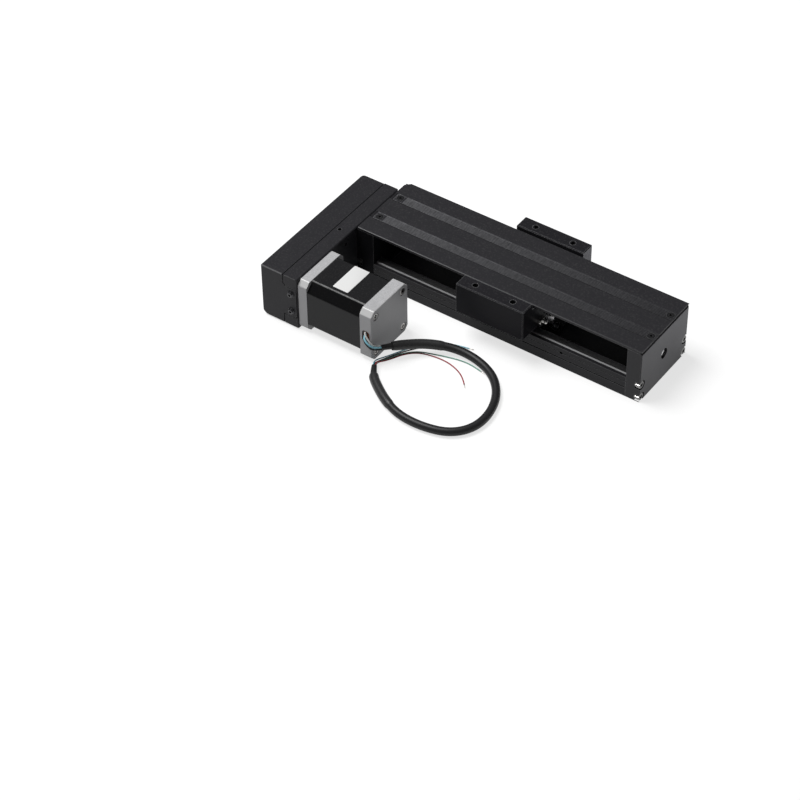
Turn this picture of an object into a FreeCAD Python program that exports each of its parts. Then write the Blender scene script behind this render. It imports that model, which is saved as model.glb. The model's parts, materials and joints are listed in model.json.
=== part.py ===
import FreeCAD, Part
import math
import os

from FreeCAD import Placement, Rotation, Vector

# Screw linear module with a stepper motor folded back beside it, in millimetres.
# X runs along the travel from the motor plate to the tail, Y across, Z up.
# The origin is the middle of the base profile's bottom face.

# Body
base_length = 204.0
body_width = 60.0
floor_thickness = 6.0
wall_height = 16.6
wall_thickness = 4.8
ledge_height = 8.6
ledge_lip = 0.6
drive_block_length = 14.0
tail_block_length = 11.0
block_height = 42.0
axis_height = 21.4
block_edge_bevel = 1.0
block_corner_bevel = 0.5

# Side grooves and holes of the base
main_groove_z = 7.8
main_groove_width = 0.9
main_groove_depth = 0.8
fine_groove_z = 12.9
fine_groove_width = 0.5
fine_groove_depth = 0.3
side_hole_x = 51.6
side_hole_z = 12.6
side_hole_radius = 1.2
side_hole_depth = 3.0
base_hole_spacing_x = 160.0
base_hole_spacing_y = 48.0
base_hole_radius = 1.65
base_hole_depth = 7.0

# Rail strips, race bars and guide balls
rail_width = 4.6
rail_height = 8.6
rail_lip_width = 2.1
rail_lip_height = 1.6
rail_bevel = 0.8
rail_gap = 0.3
race_bar_width = 4.1
race_bar_height = 8.6
guide_ball_radius = 1.2
guide_ball_pitch = 2.6
groove_clearance = 0.05
groove_above_ledge = 4.6

# Cover plate
cover_thickness = 2.0
cover_corner_cut = 4.0
cover_edge_bevel = 0.4
cover_end_relief = 1.4
cover_drive_gap = 0.9
band_centre_y = 12.0
band_grooves = 6
band_groove_pitch = 1.25
band_groove_width = 0.6
band_groove_depth = 0.35
cover_screw_y = 12.4
cover_screw_from_drive = 7.0
cover_screw_from_tail = 4.0
cover_screw_length = 8.0

# Screws of the end blocks
block_screw_from_side = 2.6
block_screw_low_z = 3.0
block_screw_high_z = 13.6
block_counterbore_radius = 3.6
block_counterbore_depth = 4.0
block_screw_grip = 8.0
washer_thickness = 0.8
washer_radius = 2.7

# Carriage
carriage_length = 54.0
carriage_rest_x = 2.0
saddle_floor_gap = 0.4
wing_side_gap = 1.6
wing_width = 11.4
wing_above_cover = 1.8
wing_bottom_z = 21.6
arm_cover_gap = 1.0
wing_edge_bevel = 0.6
wing_hole_spacing_x = 30.0
wing_hole_from_inner = 5.4
wing_hole_radius = 2.1
wing_hole_depth = 12.0
return_cap_length = 6.0
return_cap_gap = 0.3
grease_nipple_y = -22.6
grease_nipple_z = 26.0
grease_nipple_length = 7.0
grease_stem_radius = 1.5
grease_stem_length = 4.0
grease_hex = 5.0
grease_hex_length = 3.0
grease_tip_radius = 1.6
cap_screw_below_top = 2.2
cap_screw_length = 7.0
cap_screw_head_depth = 2.2
return_hole_above_bottom = 1.8

# Ball screw and nut
screw_radius = 6.0
screw_end_gap = 0.8
nut_bore_gap = 0.3
nut_body_radius = 11.0
nut_body_length = 26.0
nut_flange_radius = 15.8
nut_flange_flat = 12.6
nut_flange_thickness = 7.0
nut_screw_circle = 13.2
nut_screw_angle = 24.0
nut_screw_length = 16.0
screw_passage_radius = 7.5
drive_journal_radius = 4.0
drive_shoulder_radius = 5.2
tail_journal_radius = 3.0
tail_shoulder_radius = 4.2
tail_hole_radius = 3.9
tail_journal_recess = 1.0

# Bearings
drive_bearing_outer_radius = 9.5
drive_bearing_width = 6.0
drive_bearing_count = 2
tail_bearing_outer_radius = 7.5
tail_bearing_width = 5.0
tail_bearing_setback = 0.5
motor_bearing_outer_radius = 7.0
motor_bearing_width = 5.0
bearing_lip_radius = 7.0
lock_nut_radius = 7.0
lock_nut_length = 5.0
lock_nut_slot_width = 2.0
lock_nut_slot_depth = 1.2

# Belt drive
belt_pitch = 2.0
belt_teeth = 107
pulley_teeth = 30
belt_line_setback = 8.5
belt_width = 9.0
belt_thickness = 0.9
belt_clearance = 0.1
pulley_face_width = 10.0
pulley_flange_thickness = 1.0
pulley_flange_radius = 11.3
pulley_hub_radius = 7.0
pulley_hub_length = 7.0
pulley_tip_reduction = 0.25
tooth_groove_radius = 0.55

# Motor plate and belt cover
motor_plate_thickness = 11.5
belt_cover_depth = 19.0
housing_lift = 1.0
housing_height = 42.6
housing_past_motor_axis = 22.0
housing_past_screw_axis = 20.0
cover_wall = 2.5
belt_cover_toe_radius = 5.0
belt_cover_rear_radius = 3.0
housing_edge_bevel = 0.6
seam_groove_width = 0.6
seam_groove_depth = 0.6
plate_motor_bore = 18.0
plate_screw_bore = 8.5
plate_screw_offset_y = 8.4
plate_screw_offset_z = 11.8
plate_screw_length = 18.0
plate_screw_head_depth = 4.2
tab_height = 24.5
tab_setback = 1.0
tab_corner_radius = 2.5
tab_gusset = 2.0
tab_gap = 0.5
tab_screw_pitch = 15.0
tab_screw_setback = 5.6
tab_screw_length = 8.0
plate_top_hole_y = -38.6
plate_top_hole_setback = 8.0
plate_face_hole_y = -42.9
plate_face_hole_z = 36.6
plate_small_hole_radius = 1.4
plate_small_hole_depth = 6.0

# Stepper motor
motor_size = 42.3
motor_length = 60.8
motor_flange_length = 7.4
motor_cap_length = 9.4
motor_corner_cut = 3.6
motor_corner_blend = 1.5
motor_edge_bevel = 0.4
stator_inset = 0.4
stator_corner_cut = 6.6
stator_corner_blend = 2.0
motor_boss_radius = 11.0
motor_boss_length = 2.0
motor_shaft_radius = 2.5
motor_shaft_reach = 24.0
motor_shaft_hole_radius = 4.0
motor_hole_pitch = 31.0
motor_mount_screw_length = 12.0
motor_mount_screw_engagement = 4.5
motor_cap_screw_engagement = 1.8
motor_cap_screw_recess = 2.2
motor_cap_screw_head_radius = 2.75
motor_cap_screw_head_height = 2.0
motor_cross_width = 0.8
motor_cross_length = 3.2
motor_cross_depth = 1.0
rotor_radius = 13.2
rotor_air_gap = 0.3
rotor_end_gap = 3.0
label_from_face = 22.4
label_length = 12.4
label_width = 25.6
label_offset_y = 1.4
label_thickness = 0.15
notch_length = 6.2
notch_depth = 4.2
notch_low = -5.4
notch_high = 4.6
notch_wall = 1.6
notch_corner_radius = 2.4
bushing_recess = 2.0

# Cable, leads and loose wires
cable_radius = 3.0
sleeve_radius = 3.4
core_radius = 2.0
lead_radius = 0.65
wire_radius = 0.45
wire_pitch = 1.6
wire_end_run = 3.5

# Fits
seat_gap = 0.02
thread_gap = 0.05
hole_gap = 0.2

# Standard socket screws: shank radius, head radius, head height, key across flats
m2_cap = (1.0, 1.9, 2.0, 1.5)
m3_cap = (1.5, 2.75, 3.0, 2.5)
m4_cap = (2.0, 3.5, 4.0, 3.0)
m3_button = (1.5, 2.75, 1.65, 2.0)
m3_flat = (1.5, 3.0, 1.5, 2.0)

# Places worked out from the sizes above
half_width = body_width / 2
base_x0 = -base_length / 2
base_x1 = base_length / 2
drive_x = base_x0 - drive_block_length
tail_x = base_x1 + tail_block_length
plate_x = drive_x - motor_plate_thickness
housing_x = plate_x - belt_cover_depth
cover_top_z = block_height + cover_thickness
wing_top_z = cover_top_z + wing_above_cover
wing_inner_y = half_width + wing_side_gap
wing_outer_y = wing_inner_y + wing_width
wing_hole_y = wing_inner_y + wing_hole_from_inner
block_screw_y = half_width - block_screw_from_side
rail_outer_y = half_width - wall_thickness
rail_inner_y = rail_outer_y - rail_width
rail_top_z = ledge_height + rail_height
rail_lip_y = rail_outer_y + rail_lip_width
rail_lip_z = rail_top_z - rail_lip_height
groove_z = ledge_height + groove_above_ledge
race_outer_y = rail_inner_y - rail_gap
race_inner_y = race_outer_y - race_bar_width
ball_line_y = race_outer_y + rail_gap / 2
saddle_bottom_z = ledge_height + saddle_floor_gap
race_top_z = saddle_bottom_z + race_bar_height
carriage_x0 = carriage_rest_x - carriage_length / 2
carriage_x1 = carriage_rest_x + carriage_length / 2
belt_centres = (belt_teeth - pulley_teeth) * belt_pitch / 2
motor_y = -belt_centres
pulley_radius = pulley_teeth * belt_pitch / (2 * math.pi) - pulley_tip_reduction
belt_x = plate_x - belt_line_setback
housing_y0 = motor_y - housing_past_motor_axis
housing_y1 = housing_past_screw_axis
housing_top_z = housing_lift + housing_height
motor_half = motor_size / 2
stator_x0 = drive_x + motor_flange_length
stator_x1 = drive_x + motor_length - motor_cap_length
motor_end_x = drive_x + motor_length
motor_hole = motor_hole_pitch / 2
drive_bearing_depth = drive_bearing_width * drive_bearing_count
motor_screw_seat = motor_plate_thickness + motor_mount_screw_engagement - motor_mount_screw_length
cap_screw_z = race_top_z - cap_screw_below_top
cap_screw_y = (race_inner_y + race_outer_y) / 2
return_hole_z = saddle_bottom_z + return_hole_above_bottom
corners = [(-1, -1), (1, -1), (1, 1), (-1, 1)]


def box(x0, x1, y0, y1, z0, z1):
    return Part.makeBox(x1 - x0, y1 - y0, z1 - z0, Vector(x0, y0, z0))


def rod_x(radius, x0, x1, y, z):
    return Part.makeCylinder(radius, x1 - x0, Vector(x0, y, z), Vector(1, 0, 0))


def rod_y(radius, y0, y1, x, z):
    return Part.makeCylinder(radius, y1 - y0, Vector(x, y0, z), Vector(0, 1, 0))


def rod_z(radius, z0, z1, x, y):
    return Part.makeCylinder(radius, z1 - z0, Vector(x, y, z0), Vector(0, 0, 1))


def prism_x(outline, x0, x1):
    points = [Vector(x0, y, z) for y, z in outline]
    face = Part.Face(Part.makePolygon(points + points[:1]))
    return face.extrude(Vector(x1 - x0, 0, 0))


def prism_y(outline, y0, y1):
    points = [Vector(x, y0, z) for x, z in outline]
    face = Part.Face(Part.makePolygon(points + points[:1]))
    return face.extrude(Vector(0, y1 - y0, 0))


def join(shapes):
    return shapes[0].multiFuse(shapes[1:]).removeSplitter()


def remove(shape, tools):
    return shape.cut(Part.makeCompound(tools))


def edges_on(shape, **planes):
    """Edges that lie wholly in the named coordinate planes, such as x=0 and z=5."""
    found = []
    for edge in shape.Edges:
        b = edge.BoundBox
        spans = {"x": (b.XMin, b.XMax), "y": (b.YMin, b.YMax), "z": (b.ZMin, b.ZMax)}
        if all(max(abs(s - value) for s in spans[axis]) < 1e-4 for axis, value in planes.items()):
            found.append(edge)
    return found


def turned(shape, point, direction):
    """A shape built along +Z, moved to a point and turned to face a direction."""
    shape = shape.copy()
    shape.Placement = Placement(Vector(*point), Rotation(Vector(0, 0, 1), Vector(*direction)))
    return shape


def hex_key(across_flats, depth, top):
    radius = across_flats / math.sqrt(3)
    points = [Vector(radius * math.cos(a), radius * math.sin(a), top - depth)
              for a in [math.radians(60 * i) for i in range(7)]]
    return Part.Face(Part.makePolygon(points)).extrude(Vector(0, 0, depth))


def cap_screw(size, length, point, direction):
    """Socket cap screw, its head's seat at the point and its head facing the direction."""
    shank, head, height, key = size
    bevel = height / 10
    top = Part.makeCylinder(head, height)
    top = top.makeChamfer(bevel, edges_on(top, z=height))
    stem = Part.makeCylinder(shank, length, Vector(0, 0, -length))
    screw = join([top, stem]).cut(hex_key(key, height / 2, height))
    return turned(screw, point, direction)


def button_screw(size, length, point, direction):
    shank, head, height, key = size
    rim = height / 4
    dome = Part.makeCone(head, head * 0.62, height - rim, Vector(0, 0, rim))
    top = join([Part.makeCylinder(head, rim), dome])
    stem = Part.makeCylinder(shank, length, Vector(0, 0, -length))
    screw = join([top, stem]).cut(hex_key(key, height * 0.7, height))
    return turned(screw, point, direction)


def flat_screw(size, length, point, direction):
    """Countersunk screw, the top of its head at the point."""
    shank, head, height, key = size
    top = Part.makeCone(shank, head, height, Vector(0, 0, -height))
    stem = Part.makeCylinder(shank, length, Vector(0, 0, -length))
    screw = join([top, stem]).cut(hex_key(key, height * 0.8, 0))
    return turned(screw, point, direction)


def bearing(bore, outer, width, x, y, z):
    """Outer ring, inner ring and balls of a ball bearing that starts at x and runs along +X."""
    pitch = (bore + outer) / 2
    ball = 0.3 * (outer - bore)
    land = 0.4 * ball
    centre = Vector(x + width / 2, y, z)
    race = Part.makeTorus(pitch, ball + groove_clearance, centre, Vector(1, 0, 0))
    ring = rod_x(outer - seat_gap, x, x + width, y, z)
    ring = remove(ring, [rod_x(pitch + land, x, x + width, y, z), race])
    core = rod_x(pitch - land, x, x + width, y, z)
    core = remove(core, [rod_x(bore + seat_gap, x, x + width, y, z), race])
    count = int(0.8 * math.pi * pitch / ball)
    balls = []
    for i in range(count):
        a = 2 * math.pi * i / count
        at = centre + Vector(0, pitch * math.cos(a), pitch * math.sin(a))
        balls.append(Part.makeSphere(ball, at))
    return ring, core, balls


def save(name, solids):
    shape = solids[0] if len(solids) == 1 else Part.makeCompound(solids)
    shape.exportStep("parts/" + name + ".step")


def block_screw_places():
    return [(side * block_screw_y, z) for side in (-1, 1) for z in (block_screw_low_z, block_screw_high_z)]


def base_profile():
    channel_y = rail_inner_y - ledge_lip
    right = [(half_width, 0), (half_width, wall_height), (rail_lip_y, wall_height),
             (rail_lip_y, rail_lip_z), (rail_outer_y, rail_lip_z), (rail_outer_y, ledge_height),
             (channel_y, ledge_height), (channel_y, floor_thickness)]
    left = [(-y, z) for y, z in reversed(right)]
    shape = prism_x(right + left, base_x0, base_x1)
    tools = []
    for side in (-1, 1):
        for z, width, depth in ((main_groove_z, main_groove_width, main_groove_depth),
                                (fine_groove_z, fine_groove_width, fine_groove_depth)):
            ys = sorted([side * half_width, side * (half_width - depth)])
            tools.append(box(base_x0, base_x1, ys[0], ys[1], z - width / 2, z + width / 2))
        for x in (-base_hole_spacing_x / 2, base_hole_spacing_x / 2):
            tools.append(rod_z(base_hole_radius, 0, base_hole_depth, x, side * base_hole_spacing_y / 2))
    for y, z in block_screw_places():
        depth = block_screw_grip + hole_gap
        tools.append(rod_x(m3_cap[0] + thread_gap, base_x0, base_x0 + depth, y, z))
        tools.append(rod_x(m3_cap[0] + thread_gap, base_x1 - depth, base_x1, y, z))
    inner = -half_width + side_hole_depth
    tools.append(rod_y(side_hole_radius, -half_width, inner, side_hole_x, side_hole_z))
    return remove(shape, tools)


def rail_strip(side):
    """Steel strip on the base's ledge, with a lip over the wall and half of the ball groove."""
    outline = [(rail_inner_y, ledge_height), (rail_outer_y, ledge_height), (rail_outer_y, rail_lip_z),
               (rail_lip_y, rail_lip_z), (rail_lip_y, rail_top_z), (rail_inner_y, rail_top_z)]
    shape = prism_x([(side * y, z) for y, z in outline], base_x0, base_x1)
    shape = shape.makeChamfer(rail_bevel, edges_on(shape, y=side * rail_lip_y, z=rail_top_z))
    shape = shape.makeChamfer(rail_bevel / 2, edges_on(shape, y=side * rail_inner_y, z=rail_top_z))
    groove = guide_ball_radius + groove_clearance
    return shape.cut(rod_x(groove, base_x0, base_x1, side * ball_line_y, groove_z))


def end_block(x0, x1, outward):
    """Block with corner counterbores on its outward face and cover screw holes in its top."""
    shape = box(x0, x1, -half_width, half_width, 0, block_height)
    face = x1 if outward > 0 else x0
    if outward > 0:
        sides = edges_on(shape, x=face, y=-half_width) + edges_on(shape, x=face, y=half_width)
        shape = shape.makeChamfer(block_corner_bevel, sides)
        shape = shape.makeChamfer(block_edge_bevel, edges_on(shape, x=face, z=block_height))
    tools = []
    for y, z in block_screw_places():
        tools.append(rod_x(m3_cap[0] + hole_gap, x0, x1, y, z))
        ends = sorted([face, face - outward * block_counterbore_depth])
        tools.append(rod_x(block_counterbore_radius, ends[0], ends[1], y, z))
    return shape, tools


def cover_screw_places():
    xs = (drive_x + cover_screw_from_drive, tail_x - cover_screw_from_tail)
    return [(x, side * cover_screw_y) for x in xs for side in (-1, 1)]


def cover_screw_holes(x0, x1):
    """Tapped holes for the cover screws that stand over one end block."""
    depth = cover_screw_length - cover_thickness + hole_gap
    return [rod_z(m3_flat[0] + thread_gap, block_height - depth, block_height, x, y)
            for x, y in cover_screw_places() if x0 < x < x1]


def plate_screw_places():
    return [(sy * plate_screw_offset_y, axis_height + sz * plate_screw_offset_z) for sy, sz in corners]


def drive_end_block():
    shape, tools = end_block(drive_x, base_x0, -1)
    tools.append(rod_x(drive_bearing_outer_radius, drive_x, drive_x + drive_bearing_depth, 0, axis_height))
    tools.append(rod_x(bearing_lip_radius, drive_x, base_x0, 0, axis_height))
    depth = plate_screw_length + plate_screw_head_depth - motor_plate_thickness + hole_gap
    for y, z in plate_screw_places():
        tools.append(rod_x(m4_cap[0] + thread_gap, drive_x, drive_x + depth, y, z))
    return remove(shape, tools + cover_screw_holes(drive_x, base_x0))


def tail_end_block():
    shape, tools = end_block(base_x1, tail_x, 1)
    seat = tail_bearing_setback + tail_bearing_width
    tools.append(rod_x(tail_bearing_outer_radius, base_x1, base_x1 + seat, 0, axis_height))
    tools.append(rod_x(tail_hole_radius, base_x1, tail_x, 0, axis_height))
    return remove(shape, tools + cover_screw_holes(base_x1, tail_x))


def block_screws(face, block_length, outward):
    """Cap screws and spring washers of one end block."""
    seat = face - outward * block_counterbore_depth
    head_seat = seat + outward * washer_thickness
    ends = sorted([seat, head_seat])
    length = washer_thickness + block_length - block_counterbore_depth + block_screw_grip
    screws = []
    washers = []
    for y, z in block_screw_places():
        screws.append(cap_screw(m3_cap, length, (head_seat, y, z), (outward, 0, 0)))
        ring = rod_x(washer_radius, ends[0], ends[1], y, z)
        washers.append(ring.cut(rod_x(m3_cap[0] + thread_gap, ends[0], ends[1], y, z)))
    return screws, washers


def cover_plate():
    start = drive_x + cover_drive_gap
    shape = box(start, tail_x, -half_width, half_width, block_height, cover_top_z)
    shape = shape.makeChamfer(cover_corner_cut, edges_on(shape, x=start, y=half_width))
    long_edges = [e for side in (-1, 1) for e in edges_on(shape, y=side * half_width, z=cover_top_z)]
    shape = shape.makeChamfer(cover_edge_bevel, long_edges)
    tools = [box(tail_x - cover_end_relief, tail_x, -half_width, half_width,
                 block_height, block_height + cover_end_relief)]
    for side in (-1, 1):
        for i in range(band_grooves):
            y = side * band_centre_y + (i - (band_grooves - 1) / 2) * band_groove_pitch
            tools.append(box(start, tail_x, y - band_groove_width / 2, y + band_groove_width / 2,
                             cover_top_z - band_groove_depth, cover_top_z))
    shank, head, height, key = m3_flat
    for x, y in cover_screw_places():
        tools.append(rod_z(shank + thread_gap, block_height, cover_top_z, x, y))
        tools.append(Part.makeCone(shank + thread_gap, head + thread_gap, height,
                                   Vector(x, y, cover_top_z - height)))
    return remove(shape, tools)


def cover_screws():
    return [flat_screw(m3_flat, cover_screw_length, (x, y, cover_top_z), (0, 0, 1))
            for x, y in cover_screw_places()]


def tab(side, grow):
    """Lap tab at one end of the belt cover, or the recess for it when grown by a gap."""
    face = housing_y0 if side < 0 else housing_y1
    inner = face - side * (cover_wall + grow)
    ys = sorted([face, inner])
    x1 = drive_x - tab_setback + grow
    z0 = axis_height - tab_height / 2 - grow
    z1 = axis_height + tab_height / 2 + grow
    root = plate_x - seam_groove_width
    shape = box(root, x1, ys[0], ys[1], z0, z1)
    shape = shape.makeFillet(tab_corner_radius, edges_on(shape, x=x1, z=z0) + edges_on(shape, x=x1, z=z1))
    rise = tab_gusset + grow
    gusset = [(root, z1), (plate_x + rise, z1), (plate_x, z1 + rise), (root, z1 + rise)]
    return join([shape, prism_y(gusset, ys[0], ys[1])])


def tab_screw_places():
    return [(side, axis_height + up * tab_screw_pitch / 2) for side in (-1, 1) for up in (-1, 1)]


def motor_hole_places():
    return [(motor_y + sy * motor_hole, axis_height + sz * motor_hole) for sy, sz in corners]


def seam_groove():
    """Shallow groove round the belt cover's rim, which shows as a line where it meets the motor plate."""
    x0 = plate_x - seam_groove_width
    ring = box(x0, plate_x, housing_y0, housing_y1, housing_lift, housing_top_z)
    return ring.cut(box(x0, plate_x, housing_y0 + seam_groove_depth, housing_y1 - seam_groove_depth,
                        housing_lift, housing_top_z - seam_groove_depth))


def motor_plate():
    shape = box(plate_x, drive_x, housing_y0, housing_y1, housing_lift, housing_top_z)
    ends = edges_on(shape, x=drive_x, y=housing_y0) + edges_on(shape, x=drive_x, y=housing_y1)
    shape = shape.makeChamfer(housing_edge_bevel, edges_on(shape, x=drive_x, z=housing_top_z) + ends)
    tools = [tab(-1, tab_gap), tab(1, tab_gap)]
    tools.append(rod_x(plate_motor_bore, plate_x, drive_x, motor_y, axis_height))
    tools.append(rod_x(plate_screw_bore, plate_x, drive_x, 0, axis_height))
    for y, z in motor_hole_places():
        tools.append(rod_x(m3_cap[0] + hole_gap, plate_x, drive_x, y, z))
        tools.append(rod_x(m3_cap[1] + hole_gap, plate_x, plate_x + motor_screw_seat, y, z))
    for y, z in plate_screw_places():
        tools.append(rod_x(m4_cap[0] + hole_gap, plate_x, drive_x, y, z))
        tools.append(rod_x(m4_cap[1] + hole_gap, plate_x, plate_x + plate_screw_head_depth, y, z))
    for side, z in tab_screw_places():
        face = housing_y0 if side < 0 else housing_y1
        ys = sorted([face, face - side * (tab_screw_length + hole_gap)])
        tools.append(rod_y(m3_button[0] + thread_gap, ys[0], ys[1], drive_x - tab_screw_setback, z))
    tools.append(rod_z(plate_small_hole_radius, housing_top_z - plate_small_hole_depth, housing_top_z,
                       drive_x - plate_top_hole_setback, plate_top_hole_y))
    tools.append(rod_x(plate_small_hole_radius, drive_x - plate_small_hole_depth, drive_x,
                       plate_face_hole_y, plate_face_hole_z))
    return remove(shape, tools)


def motor_plate_screws():
    seat = plate_x + plate_screw_head_depth
    length = plate_screw_length
    return [cap_screw(m4_cap, length, (seat, y, z), (-1, 0, 0)) for y, z in plate_screw_places()]


def belt_cover():
    shell = box(housing_x, plate_x, housing_y0, housing_y1, housing_lift, housing_top_z)
    turn = belt_cover_rear_radius
    rear = box(housing_x, housing_x + turn, housing_y1 - turn, housing_y1, housing_lift, housing_top_z)
    shell = shell.cut(rear.cut(rod_z(turn, housing_lift, housing_top_z, housing_x + turn, housing_y1 - turn)))
    rims = edges_on(shell, x=housing_x, z=housing_top_z) + edges_on(shell, x=housing_x, y=housing_y0)
    rims += edges_on(shell, y=housing_y0, z=housing_top_z)
    shell = shell.makeChamfer(housing_edge_bevel, rims)
    turn = belt_cover_toe_radius
    toe = box(housing_x, housing_x + turn, housing_y0, housing_y1, housing_lift, housing_lift + turn)
    shell = shell.cut(toe.cut(rod_y(turn, housing_y0, housing_y1, housing_x + turn, housing_lift + turn)))
    shell = shell.cut(seam_groove())
    cavity = box(housing_x + cover_wall, plate_x, housing_y0 + cover_wall, housing_y1 - cover_wall,
                 housing_lift + cover_wall, housing_top_z - cover_wall)
    shape = join([shell.cut(cavity), tab(-1, 0), tab(1, 0)])
    tools = []
    for side, z in tab_screw_places():
        face = housing_y0 if side < 0 else housing_y1
        ys = sorted([face, face - side * cover_wall])
        tools.append(rod_y(m3_button[0] + hole_gap, ys[0], ys[1], drive_x - tab_screw_setback, z))
    return remove(shape, tools)


def belt_cover_screws():
    screws = []
    for side, z in tab_screw_places():
        face = housing_y0 if side < 0 else housing_y1
        point = (drive_x - tab_screw_setback, face, z)
        screws.append(button_screw(m3_button, tab_screw_length, point, (0, side, 0)))
    return screws


def loop_of_belt(radius, width):
    """Solid stadium round both pulleys."""
    x0 = belt_x - width / 2
    x1 = belt_x + width / 2
    return join([box(x0, x1, motor_y, 0, axis_height - radius, axis_height + radius),
                 rod_x(radius, x0, x1, motor_y, axis_height), rod_x(radius, x0, x1, 0, axis_height)])


def timing_belt():
    inner = pulley_radius + belt_clearance
    return loop_of_belt(inner + belt_thickness, belt_width).cut(loop_of_belt(inner, belt_width))


def set_screw_directions():
    return [(0, 0, 1), (0, 1, 0)]


def pulley(bore, y):
    """Toothed pulley with two flanges and a hub towards the motor plate."""
    x0 = belt_x - pulley_face_width / 2
    x1 = belt_x + pulley_face_width / 2
    hub_x0 = x1 + pulley_flange_thickness
    hub_x1 = hub_x0 + pulley_hub_length
    shape = rod_x(pulley_radius, x0, x1, y, axis_height)
    teeth = []
    for i in range(pulley_teeth):
        a = 2 * math.pi * i / pulley_teeth
        at_y = y + pulley_radius * math.cos(a)
        at_z = axis_height + pulley_radius * math.sin(a)
        teeth.append(rod_x(tooth_groove_radius, x0, x1, at_y, at_z))
    shape = remove(shape, teeth)
    flanges = [rod_x(pulley_flange_radius, x0 - pulley_flange_thickness, x0, y, axis_height),
               rod_x(pulley_flange_radius, x1, hub_x0, y, axis_height)]
    shape = join([shape] + flanges + [rod_x(pulley_hub_radius, hub_x0, hub_x1, y, axis_height)])
    tools = [rod_x(bore + seat_gap, x0 - pulley_flange_thickness, hub_x1, y, axis_height)]
    middle = (hub_x0 + hub_x1) / 2
    centre = Vector(middle, y, axis_height)
    for direction in set_screw_directions():
        along = Vector(*direction)
        tools.append(Part.makeCylinder(m3_cap[0] + thread_gap, pulley_hub_radius, centre, along))
    return remove(shape, tools), middle


def set_screws(bore, y, middle):
    """Hollow-point screws that stand on the shaft inside the pulley hub."""
    length = pulley_hub_radius - bore - 2 * seat_gap
    screws = []
    for direction in set_screw_directions():
        body = Part.makeCylinder(m3_cap[0], length, Vector(0, 0, bore + 2 * seat_gap))
        top = bore + 2 * seat_gap + length
        body = body.cut(hex_key(m2_cap[3], length / 2, top))
        screws.append(turned(body, (middle, y, axis_height), direction))
    return screws


def motor_section(x0, x1, size):
    """Square length of the motor body, with its four long edges."""
    half = size / 2
    shape = box(x0, x1, motor_y - half, motor_y + half, axis_height - half, axis_height + half)
    long_edges = []
    for sy, sz in corners:
        long_edges += edges_on(shape, y=motor_y + sy * half, z=axis_height + sz * half)
    return shape, long_edges


def cut_corners(shape, long_edges, size, cut, blend):
    """Cuts the four long corners of a motor section and rounds the eight edges that the cuts leave."""
    shape = shape.makeChamfer(cut, long_edges)
    half = size / 2
    edges = []
    for sy, sz in corners:
        edges += edges_on(shape, y=motor_y + sy * half, z=axis_height + sz * (half - cut))
        edges += edges_on(shape, y=motor_y + sy * (half - cut), z=axis_height + sz * half)
    return shape.makeFillet(blend, edges)


def motor_flange():
    shape, long_edges = motor_section(drive_x, stator_x0, motor_size)
    shape = cut_corners(shape, long_edges, motor_size, motor_corner_cut, motor_corner_blend)
    shape = shape.makeChamfer(motor_edge_bevel, edges_on(shape, x=drive_x))
    boss = rod_x(motor_boss_radius, drive_x - motor_boss_length, drive_x, motor_y, axis_height)
    shape = join([shape, boss])
    seat_x = stator_x0 - motor_bearing_width
    tools = [rod_x(motor_shaft_hole_radius, drive_x - motor_boss_length, stator_x0, motor_y, axis_height),
             rod_x(motor_bearing_outer_radius, seat_x, stator_x0, motor_y, axis_height)]
    for y, z in motor_hole_places():
        tools.append(rod_x(m3_cap[0] + thread_gap, drive_x, stator_x0, y, z))
    return remove(shape, tools)


def motor_stator():
    size = motor_size - 2 * stator_inset
    shape, long_edges = motor_section(stator_x0, stator_x1, size)
    shape = cut_corners(shape, long_edges, size, stator_corner_cut, stator_corner_blend)
    tools = [rod_x(rotor_radius + rotor_air_gap, stator_x0, stator_x1, motor_y, axis_height)]
    for y, z in motor_hole_places():
        tools.append(rod_x(m3_cap[0] + hole_gap, stator_x0, stator_x1, y, z))
    return remove(shape, tools)


def notch(recess):
    """Wire notch with round corners, in the side of the rear cap that faces away from the module."""
    y0 = motor_y - motor_half
    xs = (motor_end_x - notch_wall - notch_length, motor_end_x - notch_wall)
    zs = (axis_height + notch_low, axis_height + notch_high)
    shape = box(xs[0], xs[1], y0 + recess, y0 + notch_depth, zs[0], zs[1])
    round_edges = [edge for x in xs for z in zs for edge in edges_on(shape, x=x, z=z)]
    return shape.makeFillet(notch_corner_radius, round_edges)


def motor_rear_cap():
    shape, long_edges = motor_section(stator_x1, motor_end_x, motor_size)
    shape = cut_corners(shape, long_edges, motor_size, motor_corner_cut, motor_corner_blend)
    shape = shape.makeChamfer(motor_edge_bevel, edges_on(shape, x=motor_end_x))
    seat_x = stator_x1 + motor_bearing_width
    tools = [rod_x(motor_bearing_outer_radius, stator_x1, seat_x, motor_y, axis_height)]
    for y, z in motor_hole_places():
        tools.append(rod_x(m3_cap[0] + hole_gap, stator_x1, motor_end_x, y, z))
        tools.append(rod_x(motor_cap_screw_head_radius + hole_gap, motor_end_x - motor_cap_screw_recess,
                           motor_end_x, y, z))
    tools.append(notch(0))
    return remove(shape, tools)


def lead_bushing():
    """Insulating piece that fills the back of the wire notch."""
    return notch(bushing_recess)


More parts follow.
